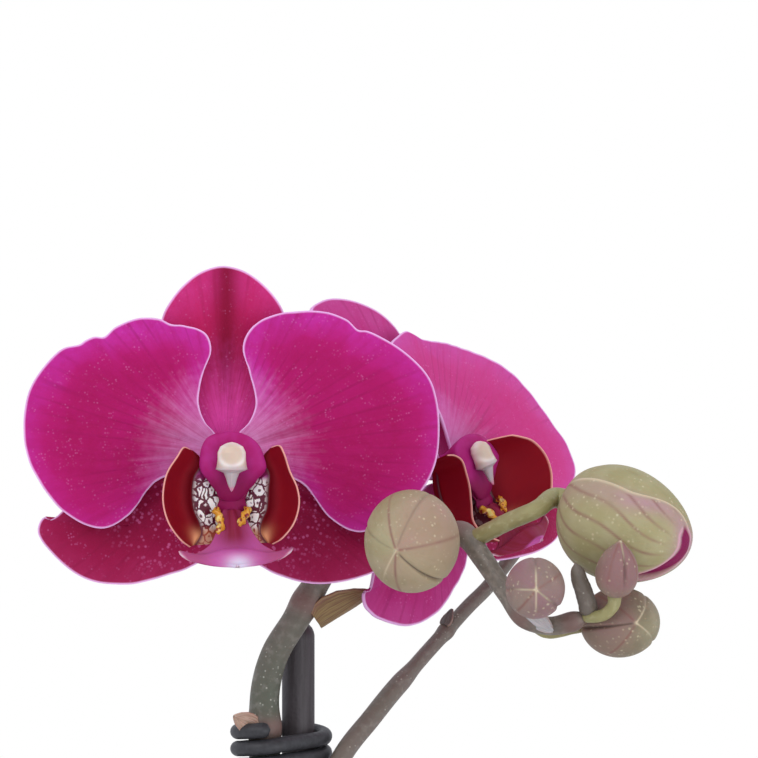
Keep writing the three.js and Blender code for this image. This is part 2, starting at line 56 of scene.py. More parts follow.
# ---- Flower frames and camera ----
# Each flower's own axes: its centre, how far it turns to its left, how far it looks up and how far
# it leans over. The camera stands level in front of the plant, with the flowers in its view.
FACES = {
    "front_flower": {"centre": P(-13.1, -26, 294.7), "yaw": 4.0, "pitch": 0.0, "roll": 0.0},
    "rear_flower": {"centre": P(31.3, 13, 290.6), "yaw": 46.0, "pitch": 15.9, "roll": 17.5},
}


def unit(vector):
    """Vectors scaled to length 1."""
    vector = np.asarray(vector, float)
    return vector / np.linalg.norm(vector, axis=-1, keepdims=True)


def flower_stand(centre, yaw, pitch, roll):
    """A flower's centre and its right, forward and up directions: its roll about the way it faces,
    then its pitch, then its yaw."""
    turns = [(yaw, "Z"), (-pitch, "X"), (-roll, "Y")]
    z, x, y = (np.array(Matrix.Rotation(math.radians(angle), 3, axis)) for angle, axis in turns)
    right, back, up = (z @ x @ y).T
    return {"centre": np.array(centre), "right": right, "forward": -back, "up": up}


STANDS = {name: flower_stand(**face) for name, face in FACES.items()}
CAMERA = {"right": 31.3, "up": 15.0, "distance": 650.0, "lens": 150.5, "sensor": 36.0}

camera_data = bpy.data.cameras.new("camera")
camera_data.lens = CAMERA["lens"]
camera_data.sensor_width = CAMERA["sensor"]
camera_data.clip_end = 20
camera = bpy.data.objects.new("camera", camera_data)
bpy.context.scene.collection.objects.link(camera)
bpy.context.scene.camera = camera
camera.location = (
    STANDS["front_flower"]["centre"] + (CAMERA["right"], -CAMERA["distance"], CAMERA["up"])
) * MM
camera.rotation_euler = (math.radians(90), 0, 0)


# ---- Helpers for materials ----
def colour(code):
    """A hex sRGB colour as linear RGBA."""
    values = [int(code[i : i + 2], 16) / 255 for i in (1, 3, 5)]
    return (*[v / 12.92 if v <= 0.04045 else ((v + 0.055) / 1.055) ** 2.4 for v in values], 1)


def add(tree, kind, inputs=None, **settings):
    """Adds a shader node with its settings, and sets or links each of its inputs."""
    node = tree.nodes.new("ShaderNode" + kind)
    for key, value in settings.items():
        setattr(node, key, value)
    for key, value in (inputs or {}).items():
        if isinstance(value, bpy.types.NodeSocket):
            tree.links.new(value, node.inputs[key])
        else:
            node.inputs[key].default_value = value
    return node


def new_material(name, **inputs):
    """A material with its node tree and its Principled shader, with constant inputs set."""
    material = bpy.data.materials.new(name)
    material.use_nodes = True
    shader = material.node_tree.nodes["Principled BSDF"]
    for key, value in inputs.items():
        shader.inputs[key.replace("_", " ")].default_value = value
    return material, material.node_tree, shader


def mix(tree, factor, first, second, blend="MIX"):
    """Two colours mixed by a factor."""
    node = add(tree, "Mix", {0: factor, 6: first, 7: second}, data_type="RGBA", blend_type=blend)
    return node.outputs[2]


def mask(tree, name):
    """A value stored on the mesh."""
    return add(tree, "Attribute", attribute_name=name).outputs["Fac"]


def in_object(tree):
    """The mesh's own coordinates, in metres."""
    return add(tree, "TexCoord").outputs["Object"]


def masked(tree, base, **colours):
    """Colours laid one after another over the parts that the masks of their names cover."""
    for name, code in colours.items():
        base = mix(tree, mask(tree, name), base, colour(code))
    return base


def noise(tree, scale, detail=3, vector=None, distortion=0.0):
    """Noise in object coordinates, in repeats a metre, or in the coordinates given."""
    vector = vector or in_object(tree)
    inputs = {"Vector": vector, "Scale": scale, "Detail": detail, "Distortion": distortion}
    return add(tree, "TexNoise", inputs).outputs["Fac"]


def ramp(tree, factor, low, high, first=0.0, last=1.0):
    """A factor stretched from low..high to first..last, and clamped."""
    inputs = {"Value": factor, "From Min": low, "From Max": high, "To Min": first, "To Max": last}
    return add(tree, "MapRange", inputs).outputs["Result"]


def math_node(tree, operation, first, second=0.0):
    """One arithmetic step on two values."""
    return add(tree, "Math", {0: first, 1: second}, operation=operation).outputs[0]


def cell_distance(tree, scale):
    """The distance to the middle of the nearest of many small cells, in repeats a metre."""
    cells = add(tree, "TexVoronoi", {"Vector": in_object(tree), "Scale": scale})
    return cells.outputs["Distance"]


def stretched(tree, across, along):
    """The mesh's own UV coordinates, stretched."""
    uv = add(tree, "UVMap", uv_map="flow").outputs["UV"]
    node = add(tree, "Mapping", {"Vector": uv, "Scale": (across, along, 1)})
    return node.outputs["Vector"]


def bump(tree, shader, height, distance, strength=1.0):
    """Raises the surface by a height texture, distance in millimetres."""
    inputs = {"Height": height, "Distance": distance * MM, "Strength": strength}
    tree.links.new(add(tree, "Bump", inputs).outputs["Normal"], shader.inputs["Normal"])


# ---- Light, world and floor ----
# Soft, even daylight: a bright white world, a broad light above and in front, and a weak one from
# the right. The floor is a pale disc that fades into the white world with distance.
scene = bpy.context.scene
scene.view_settings.view_transform = "Standard"
scene.view_settings.look = "None"
WORLD_LIGHT = 0.84

world = bpy.data.worlds.new("white")
scene.world = world
world.use_nodes = True
tree = world.node_tree
shown = add(tree, "Background", {"Color": (1, 1, 1, 1), "Strength": 1.0})
lighting = add(tree, "Background", {"Color": colour("#f4f6ff"), "Strength": WORLD_LIGHT})
eye = add(tree, "LightPath").outputs["Is Camera Ray"]
both = add(tree, "MixShader", {0: eye, 1: lighting.outputs[0], 2: shown.outputs[0]})
tree.links.new(both.outputs[0], tree.nodes["World Output"].inputs["Surface"])


def area_light(name, place, target, size, power):
    """A square area light that faces a target, in millimetres and watts."""
    data = bpy.data.lights.new(name, "AREA")
    data.size = size * MM
    data.energy = power
    light = bpy.data.objects.new(name, data)
    scene.collection.objects.link(light)
    ahead = unit(np.subtract(target, place))
    side = unit(np.cross(ahead, (0, 0, 1)))
    turned = np.array([side, np.cross(side, ahead), -ahead]).T
    light.matrix_world = Matrix([[*row, at * MM] for row, at in zip(turned, place)] + [[0, 0, 0, 1]])
    light.visible_camera = False


flowers_at = STANDS["front_flower"]["centre"]
area_light("key_light", flowers_at + (-700, -1250, 900), flowers_at, 1100, 6.3)
area_light("side_light", flowers_at + (1000, -1000, -150), flowers_at, 1000, 4.2)

FLOOR_RADIUS = 900.0
ring = np.linspace(0, 2 * np.pi, 97)[:-1]
floor_mesh = bpy.data.meshes.new("floor")
floor_mesh.from_pydata(
    [(FLOOR_RADIUS * MM * math.cos(a), FLOOR_RADIUS * MM * math.sin(a), 0) for a in ring],
    [],
    [list(range(len(ring)))],
)
floor = bpy.data.objects.new("floor", floor_mesh)
scene.collection.objects.link(floor)
material, tree, shader = new_material("pale_floor", Roughness=0.9)
shader.inputs["Base Color"].default_value = colour("#e2e1dd")
place = add(tree, "TexCoord").outputs["Object"]
away = add(tree, "VectorMath", {0: place}, operation="LENGTH").outputs["Value"]
fade = ramp(tree, away, 0.16, FLOOR_RADIUS * MM * 0.6)
clear = add(tree, "BsdfTransparent").outputs[0]
faded = add(tree, "MixShader", {0: fade, 1: shader.outputs[0], 2: clear})
tree.links.new(faded.outputs[0], tree.nodes["Material Output"].inputs["Surface"])
floor_mesh.materials.append(material)


# ---- Helpers for curves and meshes ----
def curve_at(knots, share, closed=False):
    """Points on a centripetal Catmull-Rom curve through the knots, at shares 0..1 of its knots.
    Each span is a cubic Hermite whose end tangents come from the knots' spacing to the power 1/2."""
    knots = np.asarray(knots, float)
    share = np.asarray(share, float)
    count = len(knots)
    spans = count if closed else count - 1
    span = np.minimum((share * spans).astype(int), spans - 1)
    f = (share * spans - span)[..., None]
    if closed:
        k = [knots[(span + step) % count] for step in (-1, 0, 1, 2)]
    else:
        padded = np.vstack([2 * knots[0] - knots[1], knots, 2 * knots[-1] - knots[-2]])
        k = [padded[span + step] for step in (0, 1, 2, 3)]
    d = [np.maximum(np.linalg.norm(b - a, axis=-1, keepdims=True), 1e-6) ** 0.5
         for a, b in zip(k[:-1], k[1:])]
    m1 = (k[1] - k[0]) / d[0] - (k[2] - k[0]) / (d[0] + d[1]) + (k[2] - k[1]) / d[1]
    m2 = (k[2] - k[1]) / d[1] - (k[3] - k[1]) / (d[1] + d[2]) + (k[3] - k[2]) / d[2]
    m1, m2 = m1 * d[1], m2 * d[1]
    return (
        (2 * f**3 - 3 * f**2 + 1) * k[1] + (f**3 - 2 * f**2 + f) * m1
        + (3 * f**2 - 2 * f**3) * k[2] + (f**3 - f**2) * m2
    )


def even_path(points, step):
    """Points about a step apart along the smooth curve through the given points."""
    fine = curve_at(points, np.linspace(0, 1, 60 * len(points)))
    length = np.concatenate([[0], np.cumsum(np.linalg.norm(np.diff(fine, axis=0), axis=1))])
    at = np.linspace(0, length[-1], max(6, round(length[-1] / step)))
    return np.stack([np.interp(at, length, fine[:, i]) for i in range(3)], 1)


def rings_along(path):
    """Two directions across a path at each point, carried along it without twisting."""
    ahead = unit(np.gradient(path, axis=0))
    start = np.cross(ahead[0], (0, 1, 0) if abs(ahead[0][1]) < 0.9 else (1, 0, 0))
    across = [unit(start)]
    for way in ahead[1:]:
        across.append(unit(across[-1] - way * (across[-1] @ way)))
    across = np.array(across)
    return across, np.cross(ahead, across)


def tube(points, radius, step=0.7, sides=20, rounded=True):
    """A rod's surface as rows of rings. radius(share, angle) is its radius at each point, and its
    ends are rounded by shrinking the last rings as a circle's edge does."""
    path = even_path(points, step)
    length = np.concatenate([[0], np.cumsum(np.linalg.norm(np.diff(path, axis=0), axis=1))])
    share = (length / length[-1])[:, None]
    angle = np.linspace(0, 2 * np.pi, sides, endpoint=False)[None]
    wide = radius(share, angle) * np.ones_like(angle)
    if rounded:
        close = np.minimum(length, length[-1] - length)[:, None] / wide.mean()
        wide = wide * np.sqrt(np.clip(1 - (1 - np.minimum(close, 1)) ** 2, 1e-4, 1))
    first, second = rings_along(path)
    grid = path[:, None] + wide[..., None] * (
        np.cos(angle)[..., None] * first[:, None] + np.sin(angle)[..., None] * second[:, None]
    )
    flow = np.stack([angle / (2 * np.pi) + 0 * share, length[:, None] / 10 + 0 * angle], -1)
    return grid, flow


def piece(name, grid, material, replaces=(), flow=None, wrap=False, masks=None, thick=0, breaks=0):
    """A visible piece from a grid of points in millimetres. wrap joins its last column to its first,
    flow is its UV map, masks are values on its vertices, thick gives a sheet its thickness, and a
    grid of separate bodies has breaks rows for each of them."""
    rows, columns = grid.shape[:2]
    starts = np.arange(rows - 1)
    if breaks:
        starts = starts[(starts + 1) % breaks != 0]
    row, column = np.meshgrid(starts, np.arange(columns - (not wrap)), indexing="ij")
    corners = np.stack([np.stack([row + a, column + b], -1) for a, b in ((0, 0), (0, 1), (1, 1), (1, 0))], -2)
    corners = corners.reshape(-1, 4, 2)
    quads = corners[..., 0] * columns + corners[..., 1] % columns
    mesh = bpy.data.meshes.new(name)
    mesh.vertices.add(rows * columns)
    mesh.vertices.foreach_set("co", (grid * MM).ravel())
    mesh.loops.add(quads.size)
    mesh.loops.foreach_set("vertex_index", quads.ravel().astype(np.int32))
    mesh.polygons.add(len(quads))
    mesh.polygons.foreach_set("loop_start", np.arange(0, quads.size, 4, dtype=np.int32))
    if flow is not None:
        along = flow[corners[..., 0], corners[..., 1] % columns].copy()
        along[..., 0] += corners[..., 1] // columns
        layer = mesh.uv_layers.new(name="flow")
        layer.data.foreach_set("uv", along.ravel())
    mesh.update(calc_edges=True)
    mesh.shade_smooth()
    for key, values in (masks or {}).items():
        stored = mesh.attributes.new(key, "FLOAT", "POINT")
        stored.data.foreach_set("value", np.broadcast_to(values, (rows, columns)).ravel())
    mesh.materials.append(material)
    made = bpy.data.objects.new(name, mesh)
    scene.collection.objects.link(made)
    if thick:
        shell = made.modifiers.new("thickness", "SOLIDIFY")
        shell.thickness = thick * MM
        shell.offset = 0
    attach(made, "root")
    if replaces:
        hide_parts(*replaces)
    return made


def dip(distance, width):
    """A smooth bump of height 1 at distance 0, that fades out over a width."""
    return np.exp(-((distance / width) ** 2))


def step_up(value, low, high):
    """A smooth step from 0 at low to 1 at high."""
    t = np.clip((value - low) / (high - low), 0, 1)
    return t * t * (3 - 2 * t)


# ---- Petals and sepals ----
# Each is a thin sheet inside a closed outline, drawn in the flower's face with x right and z up.
# Velvety magenta: crimson in the middle, violet-pink at the margin, and a pale flush of streaks at
# the base. Higher parts lean to violet as painted light from above, fine pale specks are painted
# glints, and the rim is a painted highlight where light comes through it.
LEFT_PETAL = [
    (-5.7, 10), (-5, 15.5), (-3.2, 21), (-4.4, 24.4), (-8.5, 25.9), (-11.3, 26.2), (-13.8, 27.3),
    (-18, 27.4), (-22.6, 25.6), (-25, 23.6), (-27, 23.6), (-28.7, 22.9), (-30, 22), (-33.5, 21.1),
    (-37.6, 17), (-40.2, 12.6), (-41.3, 6.8), (-40.9, 0.6), (-39, -4.4), (-33, -12.2),
    (-25.5, -15.5), (-20.1, -12.9), (-14.6, -6.1), (-8, -3.5), (-2.6, -1.8), (-2.2, 3.4), (-4.4, 6.2),
]
RIGHT_PETAL = [
    (5.9, 10), (4.6, 16.5), (3.3, 21.5), (5, 25.4), (9.3, 28), (15, 28.9), (20, 28.8), (24.6, 27.2),
    (27, 25.1), (29, 24.8), (34, 22.3), (38.4, 19), (41.8, 15), (43.3, 10.4), (43.8, 4.6),
    (42.9, -2.6), (39.6, -8.6), (34, -13.6), (27, -16.4), (21.3, -13.6), (15.5, -6.5), (8, -3.5),
    (2.6, -1.8), (2.2, 3.4), (4.6, 6.2),
]
DROOPING_PETAL = [
    (4.2, 12), (1.6, 20), (-1, 28.4), (2.6, 29.6), (5.8, 29.8), (9.0, 26.8), (17, 23.2), (25.8, 17.8),
    (33.6, 10.4), (38, 3.4), (40, -3), (41.6, -9.6), (40.4, -15.6), (30, -19.5), (20.9, -16.6),
    (13, -9), (7, -4), (2.6, -1.8), (3.4, 3),
]
DORSAL_SEPAL = [
    (13.2, 25), (11.9, 29.6), (8, 34.6), (4.3, 37.2), (0, 38.3), (-4.3, 37.2), (-8, 34.6),
    (-11.9, 29.6), (-13.2, 25), (-13.2, 18), (-10.4, 9), (-6, 2.2), (0, 0.4), (6, 2.2), (10.4, 9), (13.2, 18),
]
RIGHT_SEPAL = [
    (38.2, -15.8), (34.6, -11.2), (24, -6), (12, -3.4), (3.4, -2.4), (0.8, -6), (0.8, -14),
    (2.6, -19.6), (7.2, -23.6), (13, -26.2), (20, -27.3), (30.6, -25), (36.4, -20.8),
]
LEFT_SEPAL = [
    (-35.8, -13.8), (-30, -9), (-22, -6), (-12, -3.4), (-3.4, -2.4), (-0.6, -6), (-0.6, -14),
    (-2.0, -19.4), (-6.4, -23.2), (-13, -25.6), (-20, -27.2), (-28.6, -26.2), (-35, -21.6), (-38.6, -16.4),
    (-37.6, -13.6),
]
REAR_RIGHT_SEPAL = [
    (36.6, -22), (34, -19.8), (29, -18.6), (22, -12.6), (12, -5.4), (3.4, -2.4), (0.8, -6), (1, -14),
    (2.6, -20.4), (6, -23.6), (12.7, -25.8), (23.2, -27.5), (31.4, -27.2), (35.4, -25),
]
PETAL_REACH = 44.0
SHEET_THICKNESS = 0.7


def turned(outline, size, degrees):
    """An outline scaled, then turned anticlockwise about the flower's centre."""
    a = math.radians(degrees)
    return size * np.asarray(outline) @ [[math.cos(a), math.sin(a)], [-math.sin(a), math.cos(a)]]


def placed(stand, x, forward, z):
    """Points of a flower's own frame as points of the plant."""
    x, forward, z = np.broadcast_arrays(x, forward, z)
    return (
        stand["centre"] + x[..., None] * stand["right"]
        + forward[..., None] * stand["forward"] + z[..., None] * stand["up"]
    )


def petal_rise(x, z, out):
    """How far forward a petal lies: it bows out and falls back, with a crease along its middle."""
    crease = 0.55 * dip(z - 0.22 * np.abs(x) - 0.4, 1.1) * step_up(np.abs(x), 4, 9)
    crease *= 1 - step_up(np.abs(x), 14, 26)
    return 1.7 + 3 * out - 4.2 * out**2 - crease


def sepal_rise(x, z, out):
    """How far forward a sepal lies: it sweeps back, with a shallow groove along its middle."""
    return -1.1 - 0.8 * out - 2.4 * out**2


def blade(name, stand, outline, rise, material, groove=(0, 0, 0), cells=110):
    """A petal or sepal. A square grid is rounded into a disc and stretched from the sheet's heart to
    its outline; rise gives its depth, with fine veins, a waved margin and a groove along a line
    through the flower's centre at groove = (degrees, depth, width)."""
    side = np.linspace(-1, 1, cells)
    u, v = np.meshgrid(side, side)
    a, b = u * np.sqrt(1 - v * v / 2), v * np.sqrt(1 - u * u / 2)
    reach = np.minimum(np.hypot(a, b), 1)
    outline = np.asarray(outline, float)
    heart = outline.mean(0)
    start = np.arctan2(*(outline[0] - heart)[::-1])
    edge = curve_at(outline, ((np.arctan2(b, a) - start) / (2 * np.pi)) % 1, closed=True)
    flat = heart + (edge - heart) * reach[..., None]
    x, z = flat[..., 0], flat[..., 1]
    margin = (1 - reach) * np.linalg.norm(edge - heart, axis=-1)
    out = np.hypot(x, z) / PETAL_REACH
    round_it = np.arctan2(z, x)
    middle = math.atan2(heart[1], heart[0])
    fan = (round_it - middle + np.pi) % (2 * np.pi) - np.pi
    depth = rise(x, z, out)
    depth = depth + 0.07 * np.sin(fan * 46 + 3 * np.sin(out * 5 + fan * 4)) * step_up(out, 0.15, 0.5)
    depth = depth + 0.4 * np.sin(fan * 9 + middle * 3) * dip(margin, 3.5) * step_up(out, 0.4, 0.8)
    degrees, deep, width = groove
    line = math.radians(degrees)
    off = np.abs(-math.sin(line) * x + math.cos(line) * z)
    depth = depth - deep * dip(off, width)
    grid = placed(stand, x, depth, z)
    masks = {"margin": margin / 10, "out": out, "middle": dip(off, 2.8), "height": z / PETAL_REACH}
    flow = np.stack([fan, out], -1)
    return piece(name, grid, material, [name], flow, masks=masks, thick=SHEET_THICKNESS)


def velvet(name, core, middle, edge, flush, flush_out, dark_middle=0.0, dots=0.0):
    """Petal or sepal tissue. core runs into middle and then into edge towards the margin, with dark
    veins that fan out from the base; a pale flush covers the base out to flush_out of the reach."""
    material, tree, shader = new_material(
        name, Roughness=0.6, Sheen_Weight=0.08, Sheen_Roughness=0.4, Subsurface_Weight=0.1,
        Subsurface_Scale=0.002, Specular_IOR_Level=0.12,
    )
    shader.inputs["Sheen Tint"].default_value = colour("#ff7ad8")
    shader.inputs["Subsurface Radius"].default_value = (1.0, 0.25, 0.5)
    margin, out = mask(tree, "margin"), mask(tree, "out")
    streak = noise(tree, 1, 4, stretched(tree, 13, 2.2), 0.3)
    fine = noise(tree, 1, 3, stretched(tree, 46, 5))
    patch, grain = noise(tree, 90, 3), noise(tree, 650, 3)
    near_edge = math_node(tree, "ADD", ramp(tree, margin, 1.0, 0.0), ramp(tree, patch, 0.35, 0.7, -0.2, 0.2))
    # Higher parts lean towards the edge colour: painted light from above.
    near_edge = math_node(tree, "ADD", near_edge, ramp(tree, mask(tree, "height"), 0.1, 0.7, 0, 0.35))
    base = mix(tree, ramp(tree, near_edge, 0.0, 0.6), colour(core), colour(middle))
    base = mix(tree, ramp(tree, near_edge, 0.5, 1.15, 0, 0.9), base, colour(edge))
    base = mix(tree, ramp(tree, grain, 0.4, 0.65, 0, 0.3), base, colour(middle))
    base = mix(tree, ramp(tree, streak, 0.52, 0.7, 0, 0.35), base, colour(core))
    vein = add(tree, "TexWave", {"Vector": stretched(tree, 3.6, 0.4), "Scale": 1.0, "Distortion": 5.0,
                                 "Detail": 3.0, "Detail Scale": 1.2}).outputs["Fac"]
    vein = math_node(tree, "MULTIPLY", ramp(tree, vein, 0.84, 0.98, 0, 0.34), ramp(tree, patch, 0.4, 0.65))
    base = mix(tree, vein, base, mix(tree, 0.4, colour(core), colour("#4a0524")))
    if dark_middle:
        darker = math_node(tree, "MULTIPLY", mask(tree, "middle"), dark_middle)
        base = mix(tree, darker, base, colour("#860430"))
    reach = math_node(tree, "ADD", out, ramp(tree, streak, 0.35, 0.65, -0.05, 0.05))
    reach = math_node(tree, "ADD", reach, ramp(tree, grain, 0.35, 0.65, -0.025, 0.025))
    pale = ramp(tree, reach, flush_out, flush_out * 0.25, 0, 1)
    pale = math_node(tree, "POWER", pale, 1.35)
    pale = math_node(tree, "MULTIPLY", pale, ramp(tree, fine, 0.3, 0.5, 0.65, 1))
    base = mix(tree, pale, base, colour(flush))
    # Fine pale pink specks scattered over the tissue: painted glints of its glittering surface.
    painted_glints = ramp(tree, cell_distance(tree, 1500.0), 0.38, 0.16)
    painted_glints = math_node(tree, "MULTIPLY", painted_glints, ramp(tree, noise(tree, 420, 2), 0.5, 0.68, 0, 0.24))
    base = mix(tree, painted_glints, base, colour("#ee8fd2"))
    if dots:
        near = math_node(tree, "MULTIPLY", ramp(tree, out, 0.72, 0.4), ramp(tree, patch, 0.35, 0.6, 0.4, 1))
        grains = ramp(tree, cell_distance(tree, 880.0), 0.34, 0.22, 0, dots)
        spot = math_node(tree, "MULTIPLY", grains, near)
        base = mix(tree, spot, base, colour("#df72ae"))
    # A pale band along the margin: a painted highlight where light comes through the thin rim.
    rim = ramp(tree, margin, 0.05, 0.015, 0, 0.9)
    base = mix(tree, rim, base, colour("#f7c0f4"))
    tree.links.new(base, shader.inputs["Base Color"])
    height = math_node(tree, "ADD", ramp(tree, fine, 0.3, 0.7, 0, 0.6), noise(tree, 1500, 1))
    bump(tree, shader, height, 0.12, 0.7)
    return material


petal_velvet = velvet("petal_velvet", "#a80f5a", "#b6166e", "#c62fa0", "#dc8cc4", 0.45)
sepal_velvet = velvet("sepal_velvet", "#bd1b5a", "#bd1e60", "#ca327e", "#dc48a4", 0.56, dark_middle=0.9)
side_velvet = velvet("side_sepal_velvet", "#920c3e", "#9a1448", "#a8285c", "#a01c50", 0.3, dots=0.95)
far_velvet = velvet("far_petal_velvet", "#cb3a82", "#cf4690", "#cf54a8", "#e08ac6", 0.42)
far_sepal_velvet = velvet("far_sepal_velvet", "#b92a72", "#c03482", "#c44a92", "#c4508e", 0.3)

front, rear = STANDS["front_flower"], STANDS["rear_flower"]
blade("front_flower_left_petal", front, LEFT_PETAL, petal_rise, petal_velvet)
blade("front_flower_right_petal", front, RIGHT_PETAL, petal_rise, petal_velvet)
blade("front_flower_dorsal_sepal", front, turned(DORSAL_SEPAL, 1, 1), sepal_rise, sepal_velvet,
      (90, 0.5, 1.6))
blade("front_flower_left_sepal", front, LEFT_SEPAL, sepal_rise, side_velvet, (-152, 0.35, 1.6))
blade("front_flower_right_sepal", front, RIGHT_SEPAL, sepal_rise, side_velvet, (-28, 0.35, 1.6))
blade("rear_flower_right_petal", rear, DROOPING_PETAL, petal_rise, far_velvet)
blade("rear_flower_left_petal", rear, turned(LEFT_PETAL, 0.88, -14), petal_rise, far_velvet)
far_dorsal = turned(DORSAL_SEPAL, 1.16, 15)
far_dorsal[:, 0] += 5 * ((far_dorsal[:, 1] < 22) & (far_dorsal[:, 0] > -2))
blade("rear_flower_dorsal_sepal", rear, far_dorsal, sepal_rise, far_sepal_velvet, (105, 0.5, 1.6))
blade("rear_flower_left_sepal", rear, turned(LEFT_SEPAL, 0.95, 6), sepal_rise, far_sepal_velvet,
      (-146, 0.35, 1.6))
blade("rear_flower_right_sepal", rear, REAR_RIGHT_SEPAL, sepal_rise, side_velvet, (-34, 0.35, 1.6))


# ---- Columns and anther caps ----
# The column is a magenta stem that widens into a hood behind the cap, drawn out below to a point,
# and a foot that runs down between the lip's lobes. The cap is one waxy cream shell whose beak hangs
# over the column's front.
COLUMN = {"back": 3.0, "front": 11.0, "drop": 0.6}
# The hood's outline from the front: turns round its middle in degrees, and its radius there.
HOOD_RADIUS = [
    (-6, 6.4), (33, 5.1), (60, 4.5), (90, 4.4), (120, 4.8), (150, 6.1), (186, 6.6), (207, 7.4), (229, 7.4),
    (248, 8.5), (256, 9.8), (270, 10.2), (284, 9.4), (289, 8.4), (316, 7.3), (334, 7.7), (345, 7.0),
]
CAP_WIDTH = {"front_flower": 1.0, "rear_flower": 0.86}
material, tree, shader = new_material(
    "column_tissue", Roughness=0.5, Subsurface_Weight=0.1, Subsurface_Scale=0.002, Specular_IOR_Level=0.15
)
shade = noise(tree, 260, 3)
base = mix(tree, ramp(tree, shade, 0.35, 0.7), colour("#ab1a6c"), colour("#b92f88"))
base = masked(tree, base, pale="#c07aa6", low="#8c1350", dark="#8f1240")
tree.links.new(base, shader.inputs["Base Color"])
column_tissue = material

material, tree, shader = new_material(
    "anther_wax", Roughness=0.38, Subsurface_Weight=0.3, Subsurface_Scale=0.0015, Coat_Weight=0.15
)
base = mix(tree, mask(tree, "rim"), colour("#d8c0ac"), colour("#f6e9e0"))
base = masked(tree, base, beak="#bdb0b6", tip="#dd8fae")
tree.links.new(base, shader.inputs["Base Color"])
anther_wax = material


def column_and_cap(name, stand):
    """The column as rings along its length, its foot as a narrowing shield, and the cap as rings
    down from its crown to its beak's tip."""
    share = np.linspace(0, 1, 44)[:, None]
    angle = np.linspace(0, 2 * np.pi, 48, endpoint=False)[None]
    swell = step_up(share, 0.35, 0.95)
    slim = 2.3 + 0.5 * share
    close = np.sqrt(np.clip(1 - ((share - 0.94) / 0.06).clip(0, 1) ** 2, 0.02, 1))
    hood = np.interp(np.degrees(angle), *np.array(HOOD_RADIUS).T, period=360)
    radius = close * ((1 - swell) * slim + swell * hood)
    x = radius * np.cos(angle) + swell
    z = radius * np.sin(angle) - COLUMN["drop"] * share * (1 - swell)
    forward = -COLUMN["back"] + share * (COLUMN["back"] + COLUMN["front"])
    forward = forward - 0.7 * (1 - close) - 0.32 * np.maximum(-z - 3, 0)
    piece(name + "_column_stem", placed(stand, x, forward, z), column_tissue,
          [name + "_column"], wrap=True, masks={"low": step_up(-z, 3, 7)})

    down = np.linspace(0, 1, 60)[:, None]
    across = np.linspace(-1, 1, 41)[None]
    z = -1.2 - 11.6 * down
    half = np.interp(
        down, [0, 0.17, 0.36, 0.55, 0.72, 0.82, 0.92, 1], [5.2, 6.0, 4.9, 3.2, 2.4, 2.9, 2.2, 1.2]
    )
    x = 1.0 + across * half
    forward = 7.4 + 0.9 * (1 - across**2) - 0.6 * down
    pale = 0.9 * dip(z + 10.7, 0.8) + 0.12 * step_up(np.abs(across), 0.6, 1)
    masks = {"pale": pale, "low": step_up(-z, 3, 7), "dark": step_up(-z, 11.3, 12)}
    piece(name + "_column_foot", placed(stand, x, forward, z), column_tissue,
          [name + "_column"], masks=masks, thick=0.6)

    down = np.linspace(0, 1, 70)[:, None]
    z = 2.3 - 10.0 * down
    half = np.interp(
        z[:, 0][::-1], [-7.7, -7.4, -6.5, -5, -3.9, -3.2, -2.4, -1.2, 0.2, 1.4, 2.1, 2.3],
        [0.05, 0.3, 0.7, 1.15, 1.6, 3.2, 3.0, 2.85, 2.85, 2.3, 1.05, 0.1],
    )[::-1][:, None]
    deep = half * np.interp(down, [0, 0.45, 1], [0.75, 0.7, 0.8])
    half = half * CAP_WIDTH[name]
    x = 0.8 + half * np.cos(angle)
    forward = 12.0 - 0.5 * step_up(-z, 3, 7) + deep * np.sin(angle) + 0 * x
    ridge = dip(np.cos(angle), 0.22) * step_up(-z, 3.4, 4.5)
    face = np.hypot(x - 0.8, (z + 0.1) * 1.05)
    rim = dip(face - 2.6, 0.5) * (1 - step_up(-z, 2.2, 3.2)) + 0.2 * ridge
    masks = {"rim": rim, "beak": step_up(-z, 1.6, 3.6) * 0.9, "tip": step_up(-z, 6.3, 7.4)}
    piece(name + "_cap_shell", placed(stand, x, forward + 0.2 * ridge, z), anther_wax,
          [name + "_anther_cap"], wrap=True, masks=masks)


for name, stand in STANDS.items():
    column_and_cap(name, stand)


